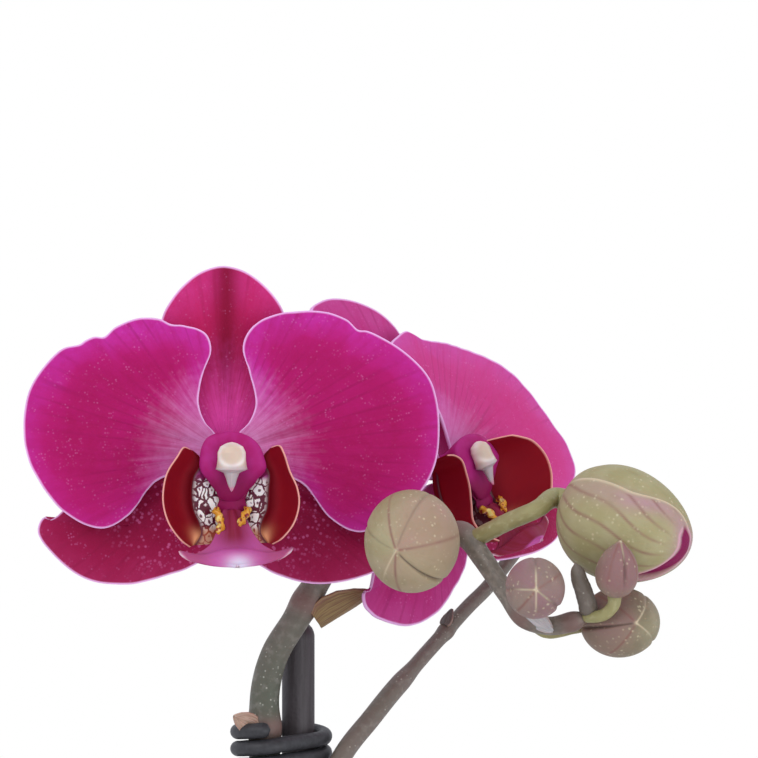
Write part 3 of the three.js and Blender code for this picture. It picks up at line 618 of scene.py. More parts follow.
# ---- Lips ----
# A lip is two dark red side lobes that stand up round the column, a white throat between them that
# is netted with dark red, an orange callus with red dots, and a lilac middle lobe like an anchor.
LOBES = {
    "front_flower": {
        "left": {
            "rim": [(-7.4, 0.6), (-8.8, 1.3), (-10.2, -0.6), (-12.2, -3.8), (-13, -7.5), (-12.9, -10.5),
                    (-11.8, -14), (-9.4, -17.4), (-7.6, -18.9)],
            "inner": [(-7.0, 0.5), (-5.6, -1.0), (-5.5, -2.4), (-6.8, -4.6), (-7.3, -8), (-6.9, -11.6),
                      (-5.8, -14.2), (-5.4, -16.2), (-6.6, -18.5)],
        },
        "right": {
            "rim": [(8.9, 1.2), (10.4, 1.6), (11.3, 0.1), (12.5, -3.5), (13.9, -6.8), (14.3, -10),
                    (13.3, -13.8), (10.9, -17.1), (9.1, -18.4)],
            "inner": [(8.7, 0.9), (7.4, -0.6), (7.5, -2), (8.6, -4.2), (8.4, -7.5), (8.1, -11.4),
                      (7.1, -13.8), (6.8, -16), (8, -18.1)],
        },
    },
    "rear_flower": {
        "left": {
            "rim": [(-12.9, 2.9), (-10.8, 2.1), (-9.3, 0.5), (-9.6, -2.4), (-10.3, -5.1), (-12.0, -8.6),
                    (-13.6, -12), (-12.4, -15.4), (-8.6, -18.4)],
            "inner": [(-9.6, 2.4), (-9.4, 1), (-9.8, -0.4), (-10.8, -2.2), (-11.6, -4.4), (-11.7, -7),
                      (-10.9, -10), (-9, -13.2), (-6.8, -16.4)],
        },
        "right": {
            "rim": [(4.4, 1.7), (8, 0.7), (11.8, -1), (15, -3.1), (17, -6.9), (16.7, -10.4),
                    (14.8, -13.6), (11.6, -16.8), (8.6, -18.6)],
            "inner": [(4, 1.2), (4.4, -1), (4.4, -3.4), (4.3, -6), (4.2, -9), (4.2, -11.8),
                      (4.6, -14), (5.2, -16.2), (7.4, -18.2)],
        },
    },
}
LOBE_FORWARD = {
    "front_flower": {"left": (9.2, 6.0, 6.0), "right": (9.2, 6.0, 6.0)},
    "rear_flower": {"left": (6.0, 9.0, 1.0), "right": (7.4, 7.6, 5.0)},
}
MIDDLE_LOBE = {
    "left": [(-0.8, -11.6), (-1.4, -13.4), (-2.4, -16.4), (-4.0, -19.0), (-7.2, -20.2), (-9.8, -19.5),
             (-9.0, -20.4), (-5.0, -21.6), (-1.6, -22.3), (1.4, -22.5)],
    "right": [(2.4, -11.6), (3.6, -13.0), (5.2, -16.2), (7.4, -18.8), (10.4, -19.7), (13.2, -18.9),
              (12.4, -19.8), (9.0, -21.2), (5.8, -22.1), (2.4, -22.5)],
}

material, tree, shader = new_material(
    "lobe_velvet", Roughness=0.6, Specular_IOR_Level=0.1, Subsurface_Weight=0.1, Subsurface_Scale=0.0015
)
shade = ramp(tree, noise(tree, 1, 3, stretched(tree, 3, 12)), 0.3, 0.7)
base = mix(tree, mask(tree, "deep"), colour("#860c1c"), colour("#5e0310"))
base = mix(tree, math_node(tree, "MULTIPLY", shade, 0.35), base, colour("#78081f"))
# Along each lobe's outer edge the rim is a painted highlight; the feet keep their own orange with a painted
# highlight over it.
base = masked(tree, base, glow="#e8a477", rim="#f0a79c")
tree.links.new(base, shader.inputs["Base Color"])
lobe_velvet = material

material, tree, shader = new_material(
    "throat_net", Roughness=0.4, Subsurface_Weight=0.2, Subsurface_Scale=0.0015
)
where = in_object(tree)
bent = add(tree, "TexNoise", {"Vector": where, "Scale": 700.0, "Detail": 2.0}).outputs["Color"]
bent = add(tree, "MixRGB", {0: 0.0012, 1: where, 2: bent}, blend_type="ADD").outputs[0]
cells = add(tree, "TexVoronoi", {"Vector": bent, "Scale": 560.0}, feature="DISTANCE_TO_EDGE")
gaps = ramp(tree, noise(tree, 420, 1), 0.4, 0.6, 0.03, 0.13)
net = ramp(tree, math_node(tree, "SUBTRACT", cells.outputs["Distance"], gaps), 0.05, 0.0)
islands = add(tree, "TexVoronoi", {"Vector": bent, "Scale": 560.0}).outputs["Distance"]
net = math_node(tree, "MAXIMUM", net, ramp(tree, islands, 0.23, 0.15, 0, 0.95))
base = mix(tree, net, colour("#fff6f4"), colour("#5c0c2c"))
base = mix(tree, mask(tree, "pink"), base, mix(tree, net, colour("#bd4da0"), colour("#8f1a5c")))
base = mix(tree, mask(tree, "gold"), base, mix(tree, net, colour("#d9a283"), colour("#b04a30")))
base = mix(tree, mask(tree, "dark"), base, colour("#5a0a1e"))
tree.links.new(base, shader.inputs["Base Color"])
throat_net = material

material, tree, shader = new_material(
    "callus_wax", Roughness=0.3, Subsurface_Weight=0.2, Subsurface_Scale=0.001
)
dots = cell_distance(tree, 1050.0)
base = mix(tree, ramp(tree, dots, 0.42, 0.3), colour("#dd9a2c"), colour("#8e1a22"))
base = mix(tree, ramp(tree, noise(tree, 700, 2), 0.55, 0.7), base, colour("#f4d77c"))
tree.links.new(base, shader.inputs["Base Color"])
bump(tree, shader, dots, 0.3)
callus_wax = material

material, tree, shader = new_material(
    "middle_lobe_velvet", Roughness=0.55, Specular_IOR_Level=0.2, Subsurface_Weight=0.15,
    Subsurface_Scale=0.002,
)
streak = ramp(tree, noise(tree, 1, 4, stretched(tree, 16, 2)), 0.35, 0.65)
base = mix(tree, mask(tree, "wing"), colour("#c65aa6"), colour("#b0507e"))
base = mix(tree, mask(tree, "root"), base, colour("#84142f"))
base = mix(tree, math_node(tree, "MULTIPLY", streak, 0.18), base, colour("#a8407e"))
base = masked(tree, base, pale="#e6d6ee", rim="#f3c3d6")
tree.links.new(base, shader.inputs["Base Color"])
middle_velvet = material


def lip(name, stand):
    """The lip's parts as grids between pairs of curves, the first and second edge of each."""
    part, share = [name + "_lip"], np.linspace(0, 1, 80)
    t = np.linspace(0, 1, 44)[None]
    edges = {}
    for side, shape in LOBES[name].items():
        inner, rim = curve_at(shape["inner"], share), curve_at(shape["rim"], share)
        start, rise, narrow = LOBE_FORWARD[name][side]
        edges[side] = inner
        flat = inner[:, None] * (1 - t[..., None]) + rim[:, None] * t[..., None]
        wide = np.linalg.norm(rim - inner, axis=1)[:, None]
        forward = start - 5.2 * t * (1 - t) * np.minimum(wide / 6, 1)
        forward = forward + rise * t**2 * np.minimum(wide / narrow, 1)
        # The feet get their orange with a painted highlight on it, and the rim a painted highlight along the
        # outer edge.
        feet = dip(share - 0.92, 0.09)[:, None] * dip(t - 0.22, 0.3)
        masks = {
            "rim": step_up(t * wide, wide - 0.14 * narrow / 6, wide - 0.04 * narrow / 6),
            "glow": 0.9 * feet, "deep": (1 - step_up(t, 0.0, 0.45)) * 0.8 + 0 * wide,
        }
        grid = placed(stand, flat[..., 0], forward, flat[..., 1])
        flow = np.stack(np.broadcast_arrays(t, share[:, None]), -1)
        piece(f"{name}_lip_{side}_lobe", grid, lobe_velvet, part, flow, masks=masks, thick=0.26)

    rows = slice(16, 80)
    left, right = edges["left"][rows], edges["right"][rows]
    flat = left[:, None] * (1 - t[..., None]) + right[:, None] * t[..., None]
    x, z = flat[..., 0], flat[..., 1]
    forward = start - 0.1 - 3.4 * np.sin(np.pi * t) * (1 + 0 * z)
    # The rear flower's whole throat is darkened as painted shade; both edges are dark where the throat meets
    # the lobes.
    masks = {"pink": 1 - step_up(-z, 4.6, 5.8), "gold": step_up(-z, 14.4, 16.2),
             "dark": dip(t, 0.04) + dip(t - 1, 0.04) + (0.85 if name == "rear_flower" else 0) + 0 * z}
    piece(name + "_lip_throat", placed(stand, x, forward, z), throat_net, part,
          masks=masks, thick=0.5)

    for number, ridge in enumerate(
        ([(-2.6, 8.0, -11.2), (-1.8, 9.4, -12.6), (-1.3, 9.8, -14.6), (-2.0, 9.2, -16.4)],
         [(4.3, 8.0, -11.0), (3.7, 9.3, -12.2), (3.0, 9.5, -13.6), (2.4, 8.8, -14.8)])
    ):
        points = [placed(stand, *np.float64(p)) for p in ridge]
        grid, flow = tube(points, lambda s, a: 0.75 + 0.2 * np.sin(s * 19 + 2 * a), 0.15, 20)
        piece(f"{name}_lip_callus_{number + 1}", grid, callus_wax, part, flow, wrap=True)

    left, right = (curve_at(MIDDLE_LOBE[side], share) for side in ("left", "right"))
    flat = left[:, None] * (1 - t[..., None]) + right[:, None] * t[..., None]
    along = share[:, None]
    off = np.abs(2 * t - 1)
    forward = 7.6 + 9.4 * along - 2.2 * off**2 * step_up(along, 0.35, 0.6)
    forward = forward + 0.7 * dip(off, 0.3) * (1 - step_up(along, 0.5, 0.9))
    hollow = dip(off - 0.62, 0.36) * step_up(along, 0.36, 0.5) * (1 - step_up(along, 0.66, 0.95))
    x, z = flat[..., 0], flat[..., 1] - 1.2 * hollow
    wide = np.linalg.norm(right - left, axis=1)[:, None]
    # The rear flower's middle lobe is in painted shade: it loses its pale patch and is painted dark red
    # almost to its tip.
    rear_in_painted_shade = name == "rear_flower"
    masks = {
        "wing": step_up(np.abs(x - 1.6), 2.5, 8), "root": (1 - step_up(-z, 16.5, 21)) * dip(x - 1.2, 4.2),
        "pale": dip(x - 2.2, 2.4) * step_up(-z, 19.4, 22.2) * (not rear_in_painted_shade),
        # A pale band along the lower edge: a painted highlight.
        "rim": step_up(off * wide, wide - 1.3, wide - 0.4) * step_up(-z, 19, 20)
        * step_up(along, 0.5, 0.58),
    }
    if rear_in_painted_shade:
        masks["root"] = 1 - step_up(along + 0 * x, 0.8, 0.88)
    flow = np.stack(np.broadcast_arrays(t, along), -1)
    piece(name + "_lip_middle_lobe", placed(stand, x, forward, z), middle_velvet, part,
          flow, masks=masks, thick=0.7)


for name, stand in STANDS.items():
    lip(name, stand)


# ---- Spike, branch and flower stalks ----
# Fleshy stems: grey-green with a waxy bloom, a pinkish-grey young end, and swollen rings where
# bracts grew. They are rods along the same paths as the plant's frame.
SPIKE_PATH = [
    P(-4.6, 14, 5), P(-7.6, 4.2, 22), P(-8.4, -1, 52), P(-7.4, -3.6, 100), P(-6.6, -4, 170),
    P(-6, -4, 232), P(-5.8, -4, 244), P(-3.7, -4, 251.6), P(0.6, -4, 258.8), P(5.1, -4, 266.7),
    P(7.4, -4.5, 270.2), P(11.4, -6, 273), P(17.4, -10, 274.4), P(24.2, -16, 275.4),
    P(30.5, -23.5, 276.6), P(35.2, -30, 278.2), P(39, -34.5, 273.6), P(43.7, -38.5, 266.8),
    P(47.4, -41, 262), P(52, -42.5, 260.4), P(56.4, -43.5, 261.2), P(59.6, -44.4, 262.4),
]
BRANCH_PATH = [
    P(-6.2, -4, 205), P(-1.5, -6.5, 210), P(4.5, -5.8, 217), P(10.1, -0.5, 229), P(16.3, 6, 236.4),
    P(23.4, 13, 244.3), P(37.9, 27, 259.1), P(42.4, 31, 263.2), P(56.2, 45, 278.1), P(69, 54, 284),
]
SPIKE_NODES = [
    P(-7.5, -3.5, 92), P(-6.3, -4, 170), P(-6, -4, 236), P(3, -4, 262), P(35.2, -30, 278.2),
    P(47.4, -41, 262), P(57, -43.5, 261.5),
]
BRANCH_NODES = [P(-4, -5, 207), P(33, 22.2, 254.2), P(56, 45, 278)]


def share_of(path, points):
    """The shares of a path's length at which it passes nearest to some points."""
    fine = even_path(path, 0.5)
    gaps = np.linalg.norm(fine[:, None] - np.asarray(points)[None], axis=2)
    return gaps.argmin(0) / (len(fine) - 1)


def stem_material(name, body, patch, bloom, blush="#7b5c55"):
    """A waxy stem: its body colour, darker patches, a pale bloom in fine streaks, and a blush."""
    material, tree, shader = new_material(
        name, Roughness=0.48, Subsurface_Weight=0.06, Subsurface_Scale=0.002
    )
    big, fine = noise(tree, 70, 4), noise(tree, 1, 4, stretched(tree, 9, 5))
    base = mix(tree, ramp(tree, big, 0.38, 0.62), colour(body), colour(patch))
    base = mix(tree, ramp(tree, fine, 0.52, 0.72, 0, 0.55), base, colour(bloom))
    speck = math_node(tree, "MULTIPLY", ramp(tree, cell_distance(tree, 900.0), 0.22, 0.1),
                      ramp(tree, noise(tree, 220, 2), 0.5, 0.62, 0, 0.6))
    base = mix(tree, math_node(tree, "MULTIPLY", mask(tree, "young"), 0.85), base,
               mix(tree, ramp(tree, fine, 0.4, 0.7), colour("#756a60"), colour("#94877c")))
    base = mix(tree, speck, base, colour("#c3c2b4"))
    base = mix(tree, mask(tree, "node"), base, colour(blush))
    tree.links.new(base, shader.inputs["Base Color"])
    bump(tree, shader, math_node(tree, "ADD", fine, noise(tree, 900, 3)), 0.14)
    return material


old_stem = stem_material("mature_stem", "#625f53", "#515646", "#85837a")
young_stem = stem_material("young_stem", "#6f665b", "#75665e", "#8f867c", "#6d5a50")
fresh_stem = stem_material("fresh_stalk", "#a09a68", "#948a5c", "#bbb48a", "#8f6f5c")


def stem(name, path, radius, material, node, nodes=(), swell=0.16, **settings):
    """A rod with a swollen ring at each of its nodes' shares."""
    def at(s, a):
        lumps = sum(swell * dip(s - n, settings.get("spread", 0.008)) for n in nodes)
        return radius(s) * (1 + lumps + 0.018 * np.sin(3 * a + 21 * s) + 0.012 * np.sin(5 * a - 60 * s))
    grid, flow = tube(path, at, settings.get("step", 0.7), 28)
    share = np.linspace(0, 1, len(grid))[:, None]
    ring = sum(dip(share - n, 0.006) for n in nodes) + 0 * share
    masks = {"node": np.clip(ring, 0, 0.8), "young": step_up(share, *settings.get("young", (1, 2)))}
    return piece(name, grid, material, [node], flow, wrap=True, masks=masks)


def spike_radius(s):
    return np.interp(s, [0, 0.6, 0.8, 1], [3.9, 3.55, 2.6, 1.75])


stem("spike_rod", SPIKE_PATH, spike_radius, old_stem, "flower_spike", share_of(SPIKE_PATH, SPIKE_NODES),
     young=(0.68, 0.8))
stem("branch_rod", BRANCH_PATH, lambda s: 2.12 - 0.45 * step_up(s, 0.42, 0.47) - 0.25 * s**3, young_stem,
     "side_branch", share_of(BRANCH_PATH, BRANCH_NODES), 0.2, spread=0.012)

FLOWER_STALKS = {
    "front_flower": [P(9, -4.8, 270.9), P(2, -5.5, 279), P(-7, -9.5, 289.5), P(-12, -17, 294)],
    "rear_flower": [P(15, -8.4, 273.8), P(16.5, 4, 276.5), P(22, 15, 283.5), P(26.3, 19, 288.2)],
}
for name, path in FLOWER_STALKS.items():
    stand = STANDS[name]
    ends = [placed(stand, *np.float64(p)) for p in ((0, -4.9, 0), (0, -2.6, 0))]
    stem(name + "_stalk_rod", [*path, *ends], lambda s: 1.6 + 0.35 * s**4, fresh_stem, name + "_stalk")


# ---- Buds ----
# Each bud is an egg of folded sepals, whose seams meet in a star at its tip: beige-green tissue with
# a pink blush, olive veins along it and pale waxy seams. The largest is splitting, with dark
# magenta petals in its slit.
BUDS = {
    "round_bud": {
        "size": (20, 18.8, 20.4), "aim": (-0.3, -1, -0.12), "stalk_radius": 1.7,
        "stalk": [P(34.4, -28.8, 277.8), P(33.4, -27.4, 277.8), P(31.5, -32, 277.8)],
        "grooves": [(-49, 1.0), (69, 0.35), (160, 0.3)], "veins": [7, 111, -100],
        "pale": [(-125, 0.5)], "blush": [(40, 0.8), (-100, 0.4)], "body": "#a1976f", "tint": "#b08880",
    },
    "opening_bud": {
        "size": (28.4, 24.2, 24), "aim": (0.85, -0.42, -0.32), "stalk_radius": 1.8,
        "stalk": [P(36.6, -31.6, 276.6), P(43, -35, 280.2), P(50, -36, 283.4)],
        "grooves": [], "veins": [], "pale": [], "blush": [(130, 0.8)], "body": "#a59c70", "tint": "#b78f96",
    },
    "small_bud": {
        "size": (13, 11.6, 12), "aim": (-0.02, -1, 0.02), "stalk_radius": 1.0,
        "stalk": [P(42.5, -37.6, 268.2), P(45.5, -39.5, 264.6), P(48, -43.5, 267.6)],
        "grooves": [(180, 0.35), (90, 0.3), (-38, 0.45)], "veins": [30, -130],
        "pale": [(180, 0.8), (90, 0.9), (-90, 0.6), (-38, 0.7)], "blush": [(135, 0.9), (-70, 0.8), (20, 0.4)],
        "body": "#8a7c6c", "tint": "#976c76",
    },
    "tip_bud": {
        "size": (11, 8.4, 8.6), "aim": (0.08, -0.35, 1), "stalk_radius": 1.2,
        "stalk": [P(58.9, -44.2, 262.2), P(62.7, -47.4, 262.9)],
        "grooves": [(-84, 0.6), (30, 0.4), (150, 0.4)], "veins": [-40, -130],
        "pale": [(-84, 0.8)], "blush": [(-60, 0.8), (-120, 0.9)], "body": "#8a7466", "tint": "#92696c",
    },
    "low_bud": {
        "size": (16, 16, 14), "aim": (0.3, -1, 0.06), "stalk_radius": 1.15,
        "stalk": [P(47.8, -41.1, 261.7), P(52, -37.5, 258.6), P(58, -35.5, 259.4)],
        "grooves": [(188, 1.0), (52, 0.3), (-37, 0.3)], "veins": [130, -115],
        "pale": [(52, 0.8), (-37, 0.8)], "blush": [(140, 0.8), (-130, 0.6), (70, 0.3)],
        "body": "#898164", "tint": "#8c6a68",
    },
}


def bud_material(name, body, tint):
    """Bud tissue: its body colour and a pink tint in blushed parts, with specks, veins and seams, and dark
    lines of painted shade in the grooves.
    """
    material, tree, shader = new_material(
        name, Roughness=0.55, Subsurface_Weight=0.12, Subsurface_Scale=0.002, Specular_IOR_Level=0.25
    )
    cloud, fine = noise(tree, 160, 4), noise(tree, 1, 4, stretched(tree, 40, 4))
    lighter = mix(tree, 0.35, colour(body), colour("#c4bb9a"))
    base = mix(tree, ramp(tree, cloud, 0.35, 0.65), colour(body), lighter)
    tinted = math_node(tree, "MULTIPLY", mask(tree, "blush"), ramp(tree, cloud, 0.25, 0.65, 0.55, 1))
    base = mix(tree, tinted, base, colour(tint))
    base = mix(tree, ramp(tree, fine, 0.55, 0.75, 0, 0.25), base, colour("#8d7f5c"))
    veined = math_node(tree, "MULTIPLY", mask(tree, "vein"), ramp(tree, cloud, 0.3, 0.55, 0.25, 0.75))
    base = mix(tree, veined, base, colour("#8c5f57"))
    speck = math_node(tree, "MULTIPLY", ramp(tree, cell_distance(tree, 900.0), 0.3, 0.14),
                      ramp(tree, noise(tree, 260, 2), 0.46, 0.6, 0, 0.5))
    base = mix(tree, speck, base, colour("#ddd2b0"))
    base = masked(tree, base, pale="#e0cfae", groove="#54423a", slit="#860c4e", lip="#d8a6b4")
    tree.links.new(base, shader.inputs["Base Color"])
    bump(tree, shader, math_node(tree, "ADD", fine, cloud), 0.16)
    return material


def bud(name, size, aim, grooves, veins, pale, blush, body, tint, stalk, stalk_radius):
    """An egg in polar form about its tip: p is the turn from the tip (0 at the tip, 180 degrees at
    the stalk), and q the turn about it. Seams are dips of the surface along lines of equal q."""
    low, high = np.array(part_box(name)) / MM
    centre = (low + high) / 2
    tip = unit(aim)
    side = unit(np.cross((0, 0, 1), tip))
    up = np.cross(tip, side)
    p = np.linspace(0.002, np.pi, 130)[:, None]
    q = np.linspace(0, 2 * np.pi, 240, endpoint=False)[None]

    def beside(degrees, width):
        turn = (q - math.radians(degrees) + np.pi) % (2 * np.pi) - np.pi
        return dip(turn * np.sin(p) * size[1] / 2, width)

    fade = step_up(p, 2.3, 1.3)
    dent = sum((d * beside(a, 0.42) for a, d in grooves), 0 * p * q) * fade
    puff = sum((0.35 * np.sin((q - math.radians(a)) * 1.5) ** 2 for a, _ in grooves[:1]), 0 * q)
    out = 1 - 0.14 * np.cos(p) + 0.02 * puff
    points = {"slit": 0 * p * q, "lip": 0 * p * q}
    if name == "opening_bud":
        near, high = np.sin(p) * np.cos(q), np.sin(p) * np.sin(q)
        gap = 0.15 * step_up(high, -0.98, -0.7) * (1 - step_up(high, 0.2, 0.5)) * (p < 1.6)
        beyond = near + 0.17 + 0.3 * np.maximum(-high, 0) ** 1.2
        points["slit"] = step_up(gap - np.abs(beyond), -0.02, 0.02) * step_up(gap, 0.01, 0.05)
        points["lip"] = dip((np.abs(beyond) - gap - 0.03) * 12, 0.3) * step_up(gap, 0.02, 0.08)
        dent = dent + 1.8 * points["slit"] - 0.5 * points["lip"]
        back = np.radians(97 + 38 * step_up(p, 0.4, 1.5))
        fold = (q - back + np.pi) % (2 * np.pi) - np.pi
        seam = step_up(p, 0.25, 0.6) * (1 - step_up(p, 2.2, 2.7))
        dent = dent + 0.8 * step_up(-fold * np.sin(p) * 12, -0.3, 0.5) * seam * (fold > -1.6)
        points["pale"] = dip((fold * np.sin(p) - 0.03) * 12, 0.35) * seam * 0.8
        ribs = (q * 180 / np.pi - 200 + 18 * p + 3 * np.sin(5 * p)) % 21 - 10.5
        points["vein"] = dip(ribs * np.sin(p) * 0.2, 0.3) * step_up(p, 0.5, 1.0) * (fold > 0.1)
    else:
        points["pale"] = sum((s * beside(a, 0.22) for a, s in pale), 0 * p * q) * (1 - step_up(p, 0.5, 1.2))
        points["vein"] = sum((beside(a, 0.3) for a in veins), 0 * p * q) * fade
        points["pale"] = points["pale"] + 0.8 * dip(p * size[1] / 2, 0.5)
    # Dark lines along the grooves: painted shade in the creases.
    line = sum((d * beside(a, 0.26) for a, d in grooves), 0 * p * q)
    points["groove"] = 0.75 * line * fade * step_up(p, 0.05, 0.2)
    spread = sum((s * (0.5 + 0.5 * np.cos(q - math.radians(a))) ** 3 for a, s in blush), 0 * p * q)
    if name == "opening_bud":
        spread = 0.9 * dip(fold * np.sin(p) * 12 - 2.4, 2.6) + 0.8 * step_up(-p, -0.7, -0.2)
    points["blush"] = np.clip(spread * (1 - 0.6 * step_up(p, 1.4, 2.4)), 0, 1)
    along = np.cos(p) * size[0] / 2 + (0.9 * dip(p, 0.3) if name == "tip_bud" else 0)
    wide = np.sin(p) * out * (1 - dent / (size[1] / 2))
    grid = (
        centre + along[..., None] * tip
        + (wide * np.cos(q) * size[1] / 2)[..., None] * side
        + (wide * np.sin(q) * size[2] / 2)[..., None] * up
    )
    flow = np.stack(np.broadcast_arrays(q / (2 * np.pi), p), -1)
    made = {key: np.clip(values, 0, 1) for key, values in points.items()}
    piece(name + "_sepals", grid, bud_material(name + "_tissue", body, tint), [name], flow,
          wrap=True, masks=made)
    back = [centre + tip * (shift - size[0] / 2) for shift in (-2, 1.2)]
    stem(name + "_stalk_rod", [*stalk, *back], lambda s: stalk_radius * (1 + 0.35 * s**6), fresh_stem,
         name + "_stalk", step=0.4)


for name, shape in BUDS.items():
    bud(name, **shape)


# ---- Bracts ----
# Cupped, pointed scales on the stems, brown-green or dry and papery, each a ribbed sheet that
# narrows to its tip. The one at the spike's end is rolled into a horn, and made as a tapering rod.
# Each has its foot, the way it leans, the way it opens, its length and width, and two colours.
BRACTS = {
    "spike_bract_low": (P(-8.9, -7.2, 92), (-0.1, -0.35, 1), (-0.2, -1, 0), 14, 8, "#8d8260", "#a3957a"),
    "spike_bract_dry": (
        P(-7.4, -8.2, 236.2), (-0.8, -0.3, 0.42), (-0.3, -0.9, 0.3), 6, 4.6, "#a07a68", "#cdb09c",
    ),
    "spike_bract_high": (
        P(5.8, -5.0, 257.4), (0.8, 0.1, 0.6), (0.5, -0.7, -0.65), 13, 8.6, "#754f38", "#978050",
    ),
    "branch_bract": (
        P(32.2, 20.4, 256.4), (0.66, 0.55, 0.62), (-0.5, -0.6, 0.5), 3.6, 3.0, "#5d554e", "#6b625b",
    ),
    "rachis_bract_low": (
        P(47.6, -44.4, 262.6), (0.86, -0.1, -0.46), (-0.3, -1, -0.5), 6, 4.4, "#b3acab", "#d6cfcf",
    ),
}
for name, (at, lean, away, length, width, dark, light) in BRACTS.items():
    material, tree, shader = new_material(
        name + "_tissue", Roughness=0.6, Subsurface_Weight=0.15, Subsurface_Scale=0.001
    )
    fine = noise(tree, 1, 4, stretched(tree, 14, 1.5))
    base = mix(tree, ramp(tree, fine, 0.38, 0.62), colour(dark), colour(light))
    base = mix(tree, ramp(tree, mask(tree, "edge"), 0.8, 1.0, 0, 0.35), base, colour("#b98a7c"))
    tree.links.new(base, shader.inputs["Base Color"])
    bump(tree, shader, fine, 0.15)
    up = unit(lean)
    back = -unit(np.subtract(away, up * np.dot(away, up)))
    side = np.cross(back, up)
    share, across = np.meshgrid(np.linspace(0, 1, 50), np.linspace(-1, 1, 31), indexing="ij")
    taper = np.interp(share, [0, 0.12, 0.3, 0.55, 0.8, 0.93, 1], [0.7, 0.93, 1, 0.9, 0.58, 0.28, 0.02])
    half = width / 2 * taper
    x, z = across * half, share * length
    depth = 0.12 * x * x + 0.9 * (1 - share) ** 2 - 0.5 * share**3 + 0.06 * np.sin(across * 9 + share * 4)
    grid = np.array(at) + x[..., None] * side + depth[..., None] * back + z[..., None] * up
    flow = np.stack([across, share], -1)
    piece(name + "_scale", grid, material, [name], flow, masks={"edge": np.abs(across)}, thick=0.55)


horn = [P(60.2, -44.8, 262.6), P(59.4, -45.6, 266), P(58, -46.1, 270), P(57.2, -46.4, 273.2)]
stem("horn_scale", horn, lambda s: 2.0 - 0.5 * s - 1.1 * s**10, young_stem, "rachis_bract_tip", step=0.3)


# ---- Stake and soft ties ----
# A dark plastic-coated stake stands behind the spike, and two soft rubber-coated wires are wound
# round both of them. A wound wire stays outside the circle that reaches furthest on each side.
STAKE = {"x": 0.9, "y": 3.4, "radius": 3.5, "above": 258, "buried": 80}
TIE = {"radius": 1.65, "pitch": 3.6, "turns": 2.3, "first_angle": -0.42 * math.pi, "clearance": 0.5}

material, tree, shader = new_material("coated_stake", Roughness=0.5)
streak = noise(tree, 1, 3, stretched(tree, 20, 0.6))
base = mix(tree, ramp(tree, streak, 0.35, 0.65), colour("#3a3436"), colour("#4a4447"))
tree.links.new(base, shader.inputs["Base Color"])
bump(tree, shader, math_node(tree, "ADD", streak, noise(tree, 1200, 2)), 0.1)
stake_path = [P(STAKE["x"], STAKE["y"], z) for z in (-STAKE["buried"], 60, 160, STAKE["above"])]
grid, flow = tube(stake_path, lambda s, a: STAKE["radius"] + 0.05 * np.sin(5 * a), 0.8, 40)
piece("stake_rod", grid, material, ["stake"], flow, wrap=True)

material, tree, shader = new_material("tie_rubber", Roughness=0.55, Coat_Weight=0.1)
grain = noise(tree, 900, 3)
base = mix(tree, ramp(tree, grain, 0.35, 0.65), colour("#29292c"), colour("#343438"))
tree.links.new(base, shader.inputs["Base Color"])
bump(tree, shader, grain, 0.12)
tie_rubber = material


def soft_tie(name, height):
    """A wire wound round the spike and the stake, dropping by its pitch each turn."""
    fine = even_path(SPIKE_PATH, 0.5)
    spike_at = fine[np.abs(fine[:, 2] - BARK_TOP - height).argmin()][:2]
    middles = np.array([spike_at, (STAKE["x"], STAKE["y"])])
    radii = np.array([3.55, STAKE["radius"]])
    turn = np.linspace(0, TIE["turns"], round(TIE["turns"] * 40))
    angle = TIE["first_angle"] - turn * 2 * math.pi
    way = np.stack([np.cos(angle), np.sin(angle)], 1)
    nearest = (way @ middles.T + radii).argmax(1)
    out = radii[nearest] + TIE["radius"] + TIE["clearance"]
    flat = middles[nearest] + way * out[:, None]
    path = np.column_stack([flat, BARK_TOP + height - turn * TIE["pitch"]])
    keep = np.concatenate([[True], np.linalg.norm(np.diff(path, axis=0), axis=1) > 0.2])
    grid, flow = tube(path[keep][::2], lambda s, a: TIE["radius"], 0.6, 24)
    piece(name + "_wire", grid, tie_rubber, [name], flow, wrap=True)


soft_tie("soft_tie_upper", 236)
soft_tie("soft_tie_lower", 120)


# ---- Leaves and crown ----
# Thick strap leaves in two ranks: dark glossy green, folded a little along a sunken midrib, with
# fine lengthwise veins and a paler underside. They arch out of a short crown of old leaf bases.
CROWN = {"x": -2.0, "y": 18.0, "radius": 8.0, "height": 34.0, "buried": 12.0}
LEAVES = [
    {"heading": -12, "up": 9, "length": 150, "width": 56, "rise": 34, "droop": -36},
    {"heading": 164, "up": 14, "length": 158, "width": 58, "rise": 38, "droop": -40},
    {"heading": -20, "up": 20, "length": 128, "width": 52, "rise": 56, "droop": -12},
    {"heading": 174, "up": 25, "length": 118, "width": 48, "rise": 62, "droop": 2},
    {"heading": 62, "up": 30, "length": 72, "width": 34, "rise": 76, "droop": 38},
]
LEAF = {"thickness": 2.2, "channel": 0.2, "base": 0.32}

material, tree, shader = new_material("leaf_tissue", Roughness=0.32, Coat_Weight=0.25, Coat_Roughness=0.25,
                                      Subsurface_Weight=0.05, Subsurface_Scale=0.003)
veins = noise(tree, 1, 4, stretched(tree, 34, 0.5), 0.1)
cloud = noise(tree, 28, 4)
base = mix(tree, ramp(tree, cloud, 0.35, 0.65), colour("#2f4a22"), colour("#3f5d2b"))
base = mix(tree, ramp(tree, veins, 0.5, 0.7, 0, 0.4), base, colour("#54703a"))
base = masked(tree, base, midrib="#6c8448", underside="#66804a", edge="#4d4a35")
tree.links.new(base, shader.inputs["Base Color"])
bump(tree, shader, math_node(tree, "ADD", veins, math_node(tree, "MULTIPLY", cloud, 0.5)), 0.35)
leaf_tissue = material

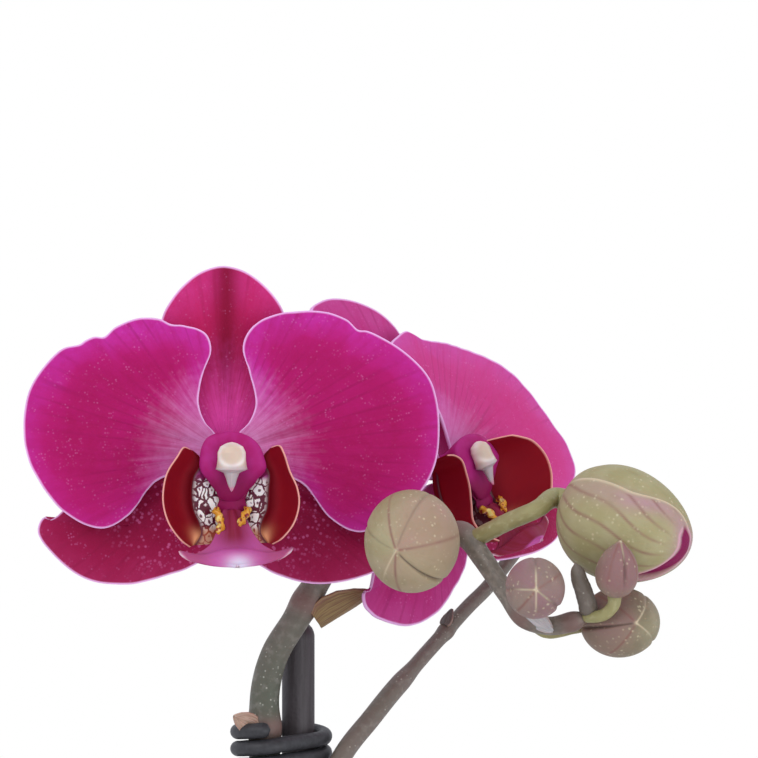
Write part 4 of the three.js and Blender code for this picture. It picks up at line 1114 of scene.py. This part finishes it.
for number, shape in enumerate(LEAVES, 1):
    rise, droop, heading = (math.radians(shape[key]) for key in ("rise", "droop", "heading"))
    bend = droop - rise
    share = np.linspace(0, 1, 150)[:, None]
    ring = np.linspace(0, 2 * np.pi, 96, endpoint=False)[None]
    v = np.cos(ring)
    angle = rise + bend * share
    ahead = np.array([math.cos(heading), math.sin(heading), 0])
    aside = np.array([-ahead[1], ahead[0], 0])
    start = np.array(P(CROWN["x"], CROWN["y"], shape["up"])) + ahead * (CROWN["radius"] - 1)
    rounded = np.sqrt(np.clip(1 - np.clip((share - 0.6) / 0.4, 0, 1) ** 2.4, 0, 1))
    spread = LEAF["base"] + (1 - LEAF["base"]) * step_up(share, 0, 0.5)
    half = shape["width"] / 2 * spread * rounded * (1 + 0.02 * np.sin(share * 17 + number))
    across = v * half
    thick = LEAF["thickness"] * (1 - 0.55 * v * v) * np.minimum(1, 0.1 + rounded)
    fold = np.sqrt(across**2 + 3) - math.sqrt(3)
    above = fold * LEAF["channel"] + np.sin(ring) * thick / 2 - 0.5 * dip(across, 1.3) * (np.sin(ring) > 0)
    above = above + 0.5 * np.sin(share * 9 + number * 2 + v) * v * v * spread
    out = shape["length"] / bend * (np.sin(angle) - math.sin(rise))
    lift = shape["length"] / bend * (math.cos(rise) - np.cos(angle))
    grid = (
        start + (out - np.sin(angle) * above)[..., None] * ahead + across[..., None] * aside
        + (lift + np.cos(angle) * above)[..., None] * np.array([0, 0, 1])
    )
    masks = {
        "midrib": 0.55 * dip(across, 0.9) * (np.sin(ring) > 0),
        "underside": 0.9 * step_up(-np.sin(ring), 0, 0.3) + 0 * across,
        "edge": 0.5 * dip(np.sin(ring), 0.12) + 0 * across,
    }
    flow = np.stack(np.broadcast_arrays(v * half / 28, share * 5), -1)
    piece(f"leaf_{number}_blade", grid, leaf_tissue, [f"leaf_{number}"], flow, wrap=True,
          masks=masks)

material, tree, shader = new_material("crown_sheaths", Roughness=0.6)
cloud = noise(tree, 1, 4, stretched(tree, 10, 2))
base = mix(tree, ramp(tree, cloud, 0.35, 0.65), colour("#56603a"), colour("#7d7a52"))
base = mix(tree, mask(tree, "edge"), base, colour("#8f7b58"))
tree.links.new(base, shader.inputs["Base Color"])
bump(tree, shader, cloud, 0.4)
share = np.linspace(0, 1, 120)[:, None]
ring = np.linspace(0, 2 * np.pi, 80, endpoint=False)[None]
z = -CROWN["buried"] + share * (CROWN["buried"] + CROWN["height"])
step = (share * 5.5 + 0.08 * np.cos(2 * ring)) % 1
wide = CROWN["radius"] * (1 - 0.11 * step) * (1 - 0.16 * share) * (1 + 0.12 * np.cos(2 * ring - 0.3))
wide = wide * np.sqrt(np.clip(1 - ((share - 0.9) / 0.1).clip(0, 1) ** 2, 0.001, 1))
wide = wide * np.sqrt(np.clip(share / 0.04, 0.001, 1))
x, y = CROWN["x"] + wide * np.cos(ring), CROWN["y"] + wide * np.sin(ring)
grid = np.stack(np.broadcast_arrays(x, y, BARK_TOP + z), -1)
flow = np.stack(np.broadcast_arrays(ring / (2 * np.pi) * 4, share * 4), -1)
piece("crown_sheaths", grid, material, ["crown"], flow, wrap=True,
      masks={"edge": step_up(step, 0.8, 1)})


# ---- Aerial roots ----
# Thick wandering roots with a silver-grey spongy skin, faint rings and lumps, and green where it is
# thin near the growing tips. One of them hangs over the cover pot's rim.
ROOT_RADIUS = 2.3
OVER_RIM = 63.5
RIM_LIFT = 15.5


def at_reach(reach, y, above):
    """A point at a distance from the pot's axis, on its right side."""
    return P(math.sqrt(reach * reach - y * y), y, above)


ROOTS = [
    [P(2, 12, -1), P(12, 1, 4), P(20, -14, 4), P(25, -28, 2), P(27, -36, -14)],
    [P(-8, 14, -1), P(-22, 6, 5), P(-33, -8, 4), P(-37, -16, -3), P(-38, -19, -16)],
    [P(4, 22, -2), P(22, 26, 6), P(38, 24, 13.5), at_reach(OVER_RIM - 7, 24, RIM_LIFT + 0.6),
     at_reach(OVER_RIM - 1.2, 24.5, RIM_LIFT - 1.6), at_reach(OVER_RIM + 0.8, 25, RIM_LIFT - 7),
     at_reach(OVER_RIM + 0.4, 26, -14), at_reach(OVER_RIM - 2.2, 28, -36)],
    [P(-6, 25, -1), P(-15, 32, 5), P(-24, 35, 1), P(-28, 35, -15)],
]
material, tree, shader = new_material("root_velamen", Roughness=0.75)
skin = noise(tree, 1, 5, stretched(tree, 6, 2))
base = mix(tree, ramp(tree, skin, 0.35, 0.65), colour("#a3a591"), colour("#c6c7b8"))
base = mix(tree, ramp(tree, noise(tree, 60, 3), 0.52, 0.7, 0, 0.5), base, colour("#8a946c"))
base = mix(tree, mask(tree, "tip"), base, colour("#7c9a4e"))
tree.links.new(base, shader.inputs["Base Color"])
bump(tree, shader, math_node(tree, "ADD", skin, noise(tree, 700, 3)), 0.25)


def root_radius(s, a, number):
    """A root's radius: it tapers to its tip, with rings and lumps that differ from root to root."""
    lumps = 0.04 * np.sin(s * 31 + number) + 0.03 * np.sin(2 * a + s * 17)
    return ROOT_RADIUS * (1 - 0.28 * s**3) * (1 + lumps)


for number, path in enumerate(ROOTS, 1):
    grid, flow = tube(path, lambda s, a: root_radius(s, a, number), 0.6, 28)
    tip = step_up(np.linspace(0, 1, len(grid))[:, None], 0.86, 0.97)
    piece(f"aerial_root_{number}_skin", grid, material, [f"aerial_root_{number}"], flow,
          wrap=True, masks={"tip": tip})


# ---- Bark ----
# Coarse orchid bark: a dark crumbly mound with several hundred wedge-shaped chips lying on it.
COVER = {"height": 110.0, "rim": 60.0, "base": 45.0, "wall": 4.0, "floor": 6.0, "round": 1.9}
GROW = {"wall": 1.2, "floor": 1.6, "side_gap": 1.5, "below_rim": 3.5, "lip": 2.2, "round": 0.5}
GAP = 0.35
ON_AXIS = 0.01
seeds = np.random.default_rng(11)


def pot_radius(z):
    """The cover pot's outer radius at a height."""
    return COVER["base"] + (COVER["rim"] - COVER["base"]) * z / COVER["height"]


def grow_radius(z):
    """The grow pot's outer radius at a height."""
    return pot_radius(z) - COVER["wall"] - GROW["side_gap"]


def lathe(name, profile, material, node, sides=160):
    """A surface of revolution about the pot's axis, from its profile of radius and height."""
    profile = np.array(profile, float)
    ring = np.linspace(0, 2 * np.pi, sides, endpoint=False)[None]
    radius, z = profile[:, :1], profile[:, 1:]
    grid = np.stack(np.broadcast_arrays(radius * np.cos(ring), radius * np.sin(ring), z), -1)
    flow = np.stack(np.broadcast_arrays(ring / (2 * np.pi), z / 100), -1)
    return piece(name, grid, material, [node], flow, wrap=True)


material, tree, shader = new_material("pine_bark", Roughness=0.85)
tone = add(tree, "Attribute", attribute_name="tone").outputs["Fac"]
grain = noise(tree, 380, 5)
base = mix(tree, tone, colour("#3d2718"), colour("#8a5f3c"))
base = mix(tree, ramp(tree, grain, 0.42, 0.68, 0, 0.7), base, colour("#2a1a10"))
tree.links.new(base, shader.inputs["Base Color"])
bump(tree, shader, grain, 0.8)
bark = material

# Each chip is a ball of ROWS by COLUMNS points, drawn out into a block along its own three axes.
CHIPS, ROWS, COLUMNS = 620, 9, 14
reach = grow_radius(BARK_TOP) - GROW["wall"] - 4.6
spot = np.sqrt(seeds.random(CHIPS)) * reach
turn = seeds.random(CHIPS) * 2 * np.pi
middle = np.stack([spot * np.cos(turn), spot * np.sin(turn), BARK_TOP - 2.6 - 4.4 * (spot / reach) ** 2], 1)
middle[:, 2] += seeds.uniform(-1.2, 1.4, CHIPS)
sizes = np.stack([seeds.uniform(*size, CHIPS) for size in ((2.4, 5.4), (1.8, 3.6), (0.9, 1.9))], 1)
p = np.linspace(0.01, np.pi - 0.01, ROWS)[:, None] + np.zeros((1, COLUMNS))
q = np.linspace(0, 2 * np.pi, COLUMNS, endpoint=False)[None] + 0 * p
ball = np.stack([np.sin(p) * np.cos(q), np.sin(p) * np.sin(q), np.cos(p)], -1)
block = np.sign(ball) * np.abs(ball) ** 0.55
lumps = 1 + seeds.uniform(-0.16, 0.16, (CHIPS, ROWS, COLUMNS, 1))
lumps[..., -1:, :] = lumps[..., :1, :]
heading, tilt = seeds.random(CHIPS) * 2 * np.pi, seeds.uniform(-0.5, 0.5, (CHIPS, 2))
one = unit(np.stack([np.cos(heading), np.sin(heading), tilt[:, 0]], 1))
two = unit(np.cross(np.stack([tilt[:, 1], 0 * heading, 1 + 0 * heading], 1), one))
three = np.cross(one, two)
basis = np.stack([one, two, three], 1)
shaped = block[None] * lumps * sizes[:, None, None]
chips = middle[:, None, None] + np.einsum("nijk,nkl->nijl", shaped, basis)
tones = np.repeat(seeds.random(CHIPS), ROWS)[:, None]
piece("bark_chips", chips.reshape(CHIPS * ROWS, COLUMNS, 3), bark, ["bark_mix"], wrap=True,
      masks={"tone": tones}, breaks=ROWS)
edge = BARK_TOP - 5
bottom = COVER["floor"] + GAP + GROW["floor"] + 0.5
mound = [
    (ON_AXIS, bottom), (grow_radius(bottom) - 2, bottom), (grow_radius(edge) - 2, edge - 2),
    (40, BARK_TOP - 5), (20, BARK_TOP - 3), (ON_AXIS, BARK_TOP - 2.6),
]
lathe("bark_mound", mound, bark, "bark_mix")


# ---- Grow pot and cover pot ----
# A thin clear plastic grow pot with a rolled lip stands inside a plain glazed cover pot, which has
# a softly rounded rim and foot.
def rounded_profile(points, radius, steps=8):
    """A profile with each inner corner rounded: the corner is the middle point of a quadratic arc."""
    points = np.array(points, float)
    out = [points[:1]]
    for before, corner, after in zip(points[:-2], points[1:-1], points[2:]):
        r = min(radius, *(np.linalg.norm(p - corner) * 0.45 for p in (before, after)))
        first, last = corner + unit(before - corner) * r, corner + unit(after - corner) * r
        t = np.linspace(0, 1, steps)[:, None]
        out.append((1 - t) ** 2 * first + 2 * t * (1 - t) * corner + t**2 * last)
    return np.vstack([*out, points[-1:]])


material, tree, shader = new_material("clear_plastic", Roughness=0.12, Transmission_Weight=0.85, IOR=1.45)
shader.inputs["Base Color"].default_value = colour("#e8efe9")
low = COVER["floor"] + GAP
high = COVER["height"] - GROW["below_rim"]
under = high - GROW["lip"]
inside = low + GROW["floor"]
shell = [
    (ON_AXIS, low), (grow_radius(low), low), (grow_radius(under), under),
    (grow_radius(high), high - GROW["lip"] / 2), (grow_radius(high), high),
    (grow_radius(high) - GROW["lip"], high), (grow_radius(under) - GROW["wall"], under),
    (grow_radius(inside) - GROW["wall"], inside), (ON_AXIS, inside),
]
lathe("grow_pot_shell", rounded_profile(shell, GROW["round"]), material, "grow_pot")

material, tree, shader = new_material("glazed_ceramic", Roughness=0.16, Coat_Weight=0.6, Coat_Roughness=0.05)
cloud = noise(tree, 22, 4)
base = mix(tree, ramp(tree, cloud, 0.35, 0.65), colour("#e9e5dc"), colour("#f3f0e9"))
base = mix(tree, ramp(tree, noise(tree, 900, 2), 0.66, 0.72, 0, 0.25), base, colour("#b7a98f"))
tree.links.new(base, shader.inputs["Base Color"])
bump(tree, shader, cloud, 0.5, 0.3)
rim, wall, floor = COVER["rim"], COVER["wall"], COVER["floor"]
hollow = 1.2
body = [
    (ON_AXIS, hollow), (COVER["base"] - 6, hollow), (COVER["base"] - 7, 0), (COVER["base"], 0),
    (rim, COVER["height"]), (rim - wall, COVER["height"]), (pot_radius(floor) - wall, floor),
    (ON_AXIS, floor),
]
lathe("cover_pot_body", rounded_profile(body, COVER["round"], 10), material,
      "cover_pot")
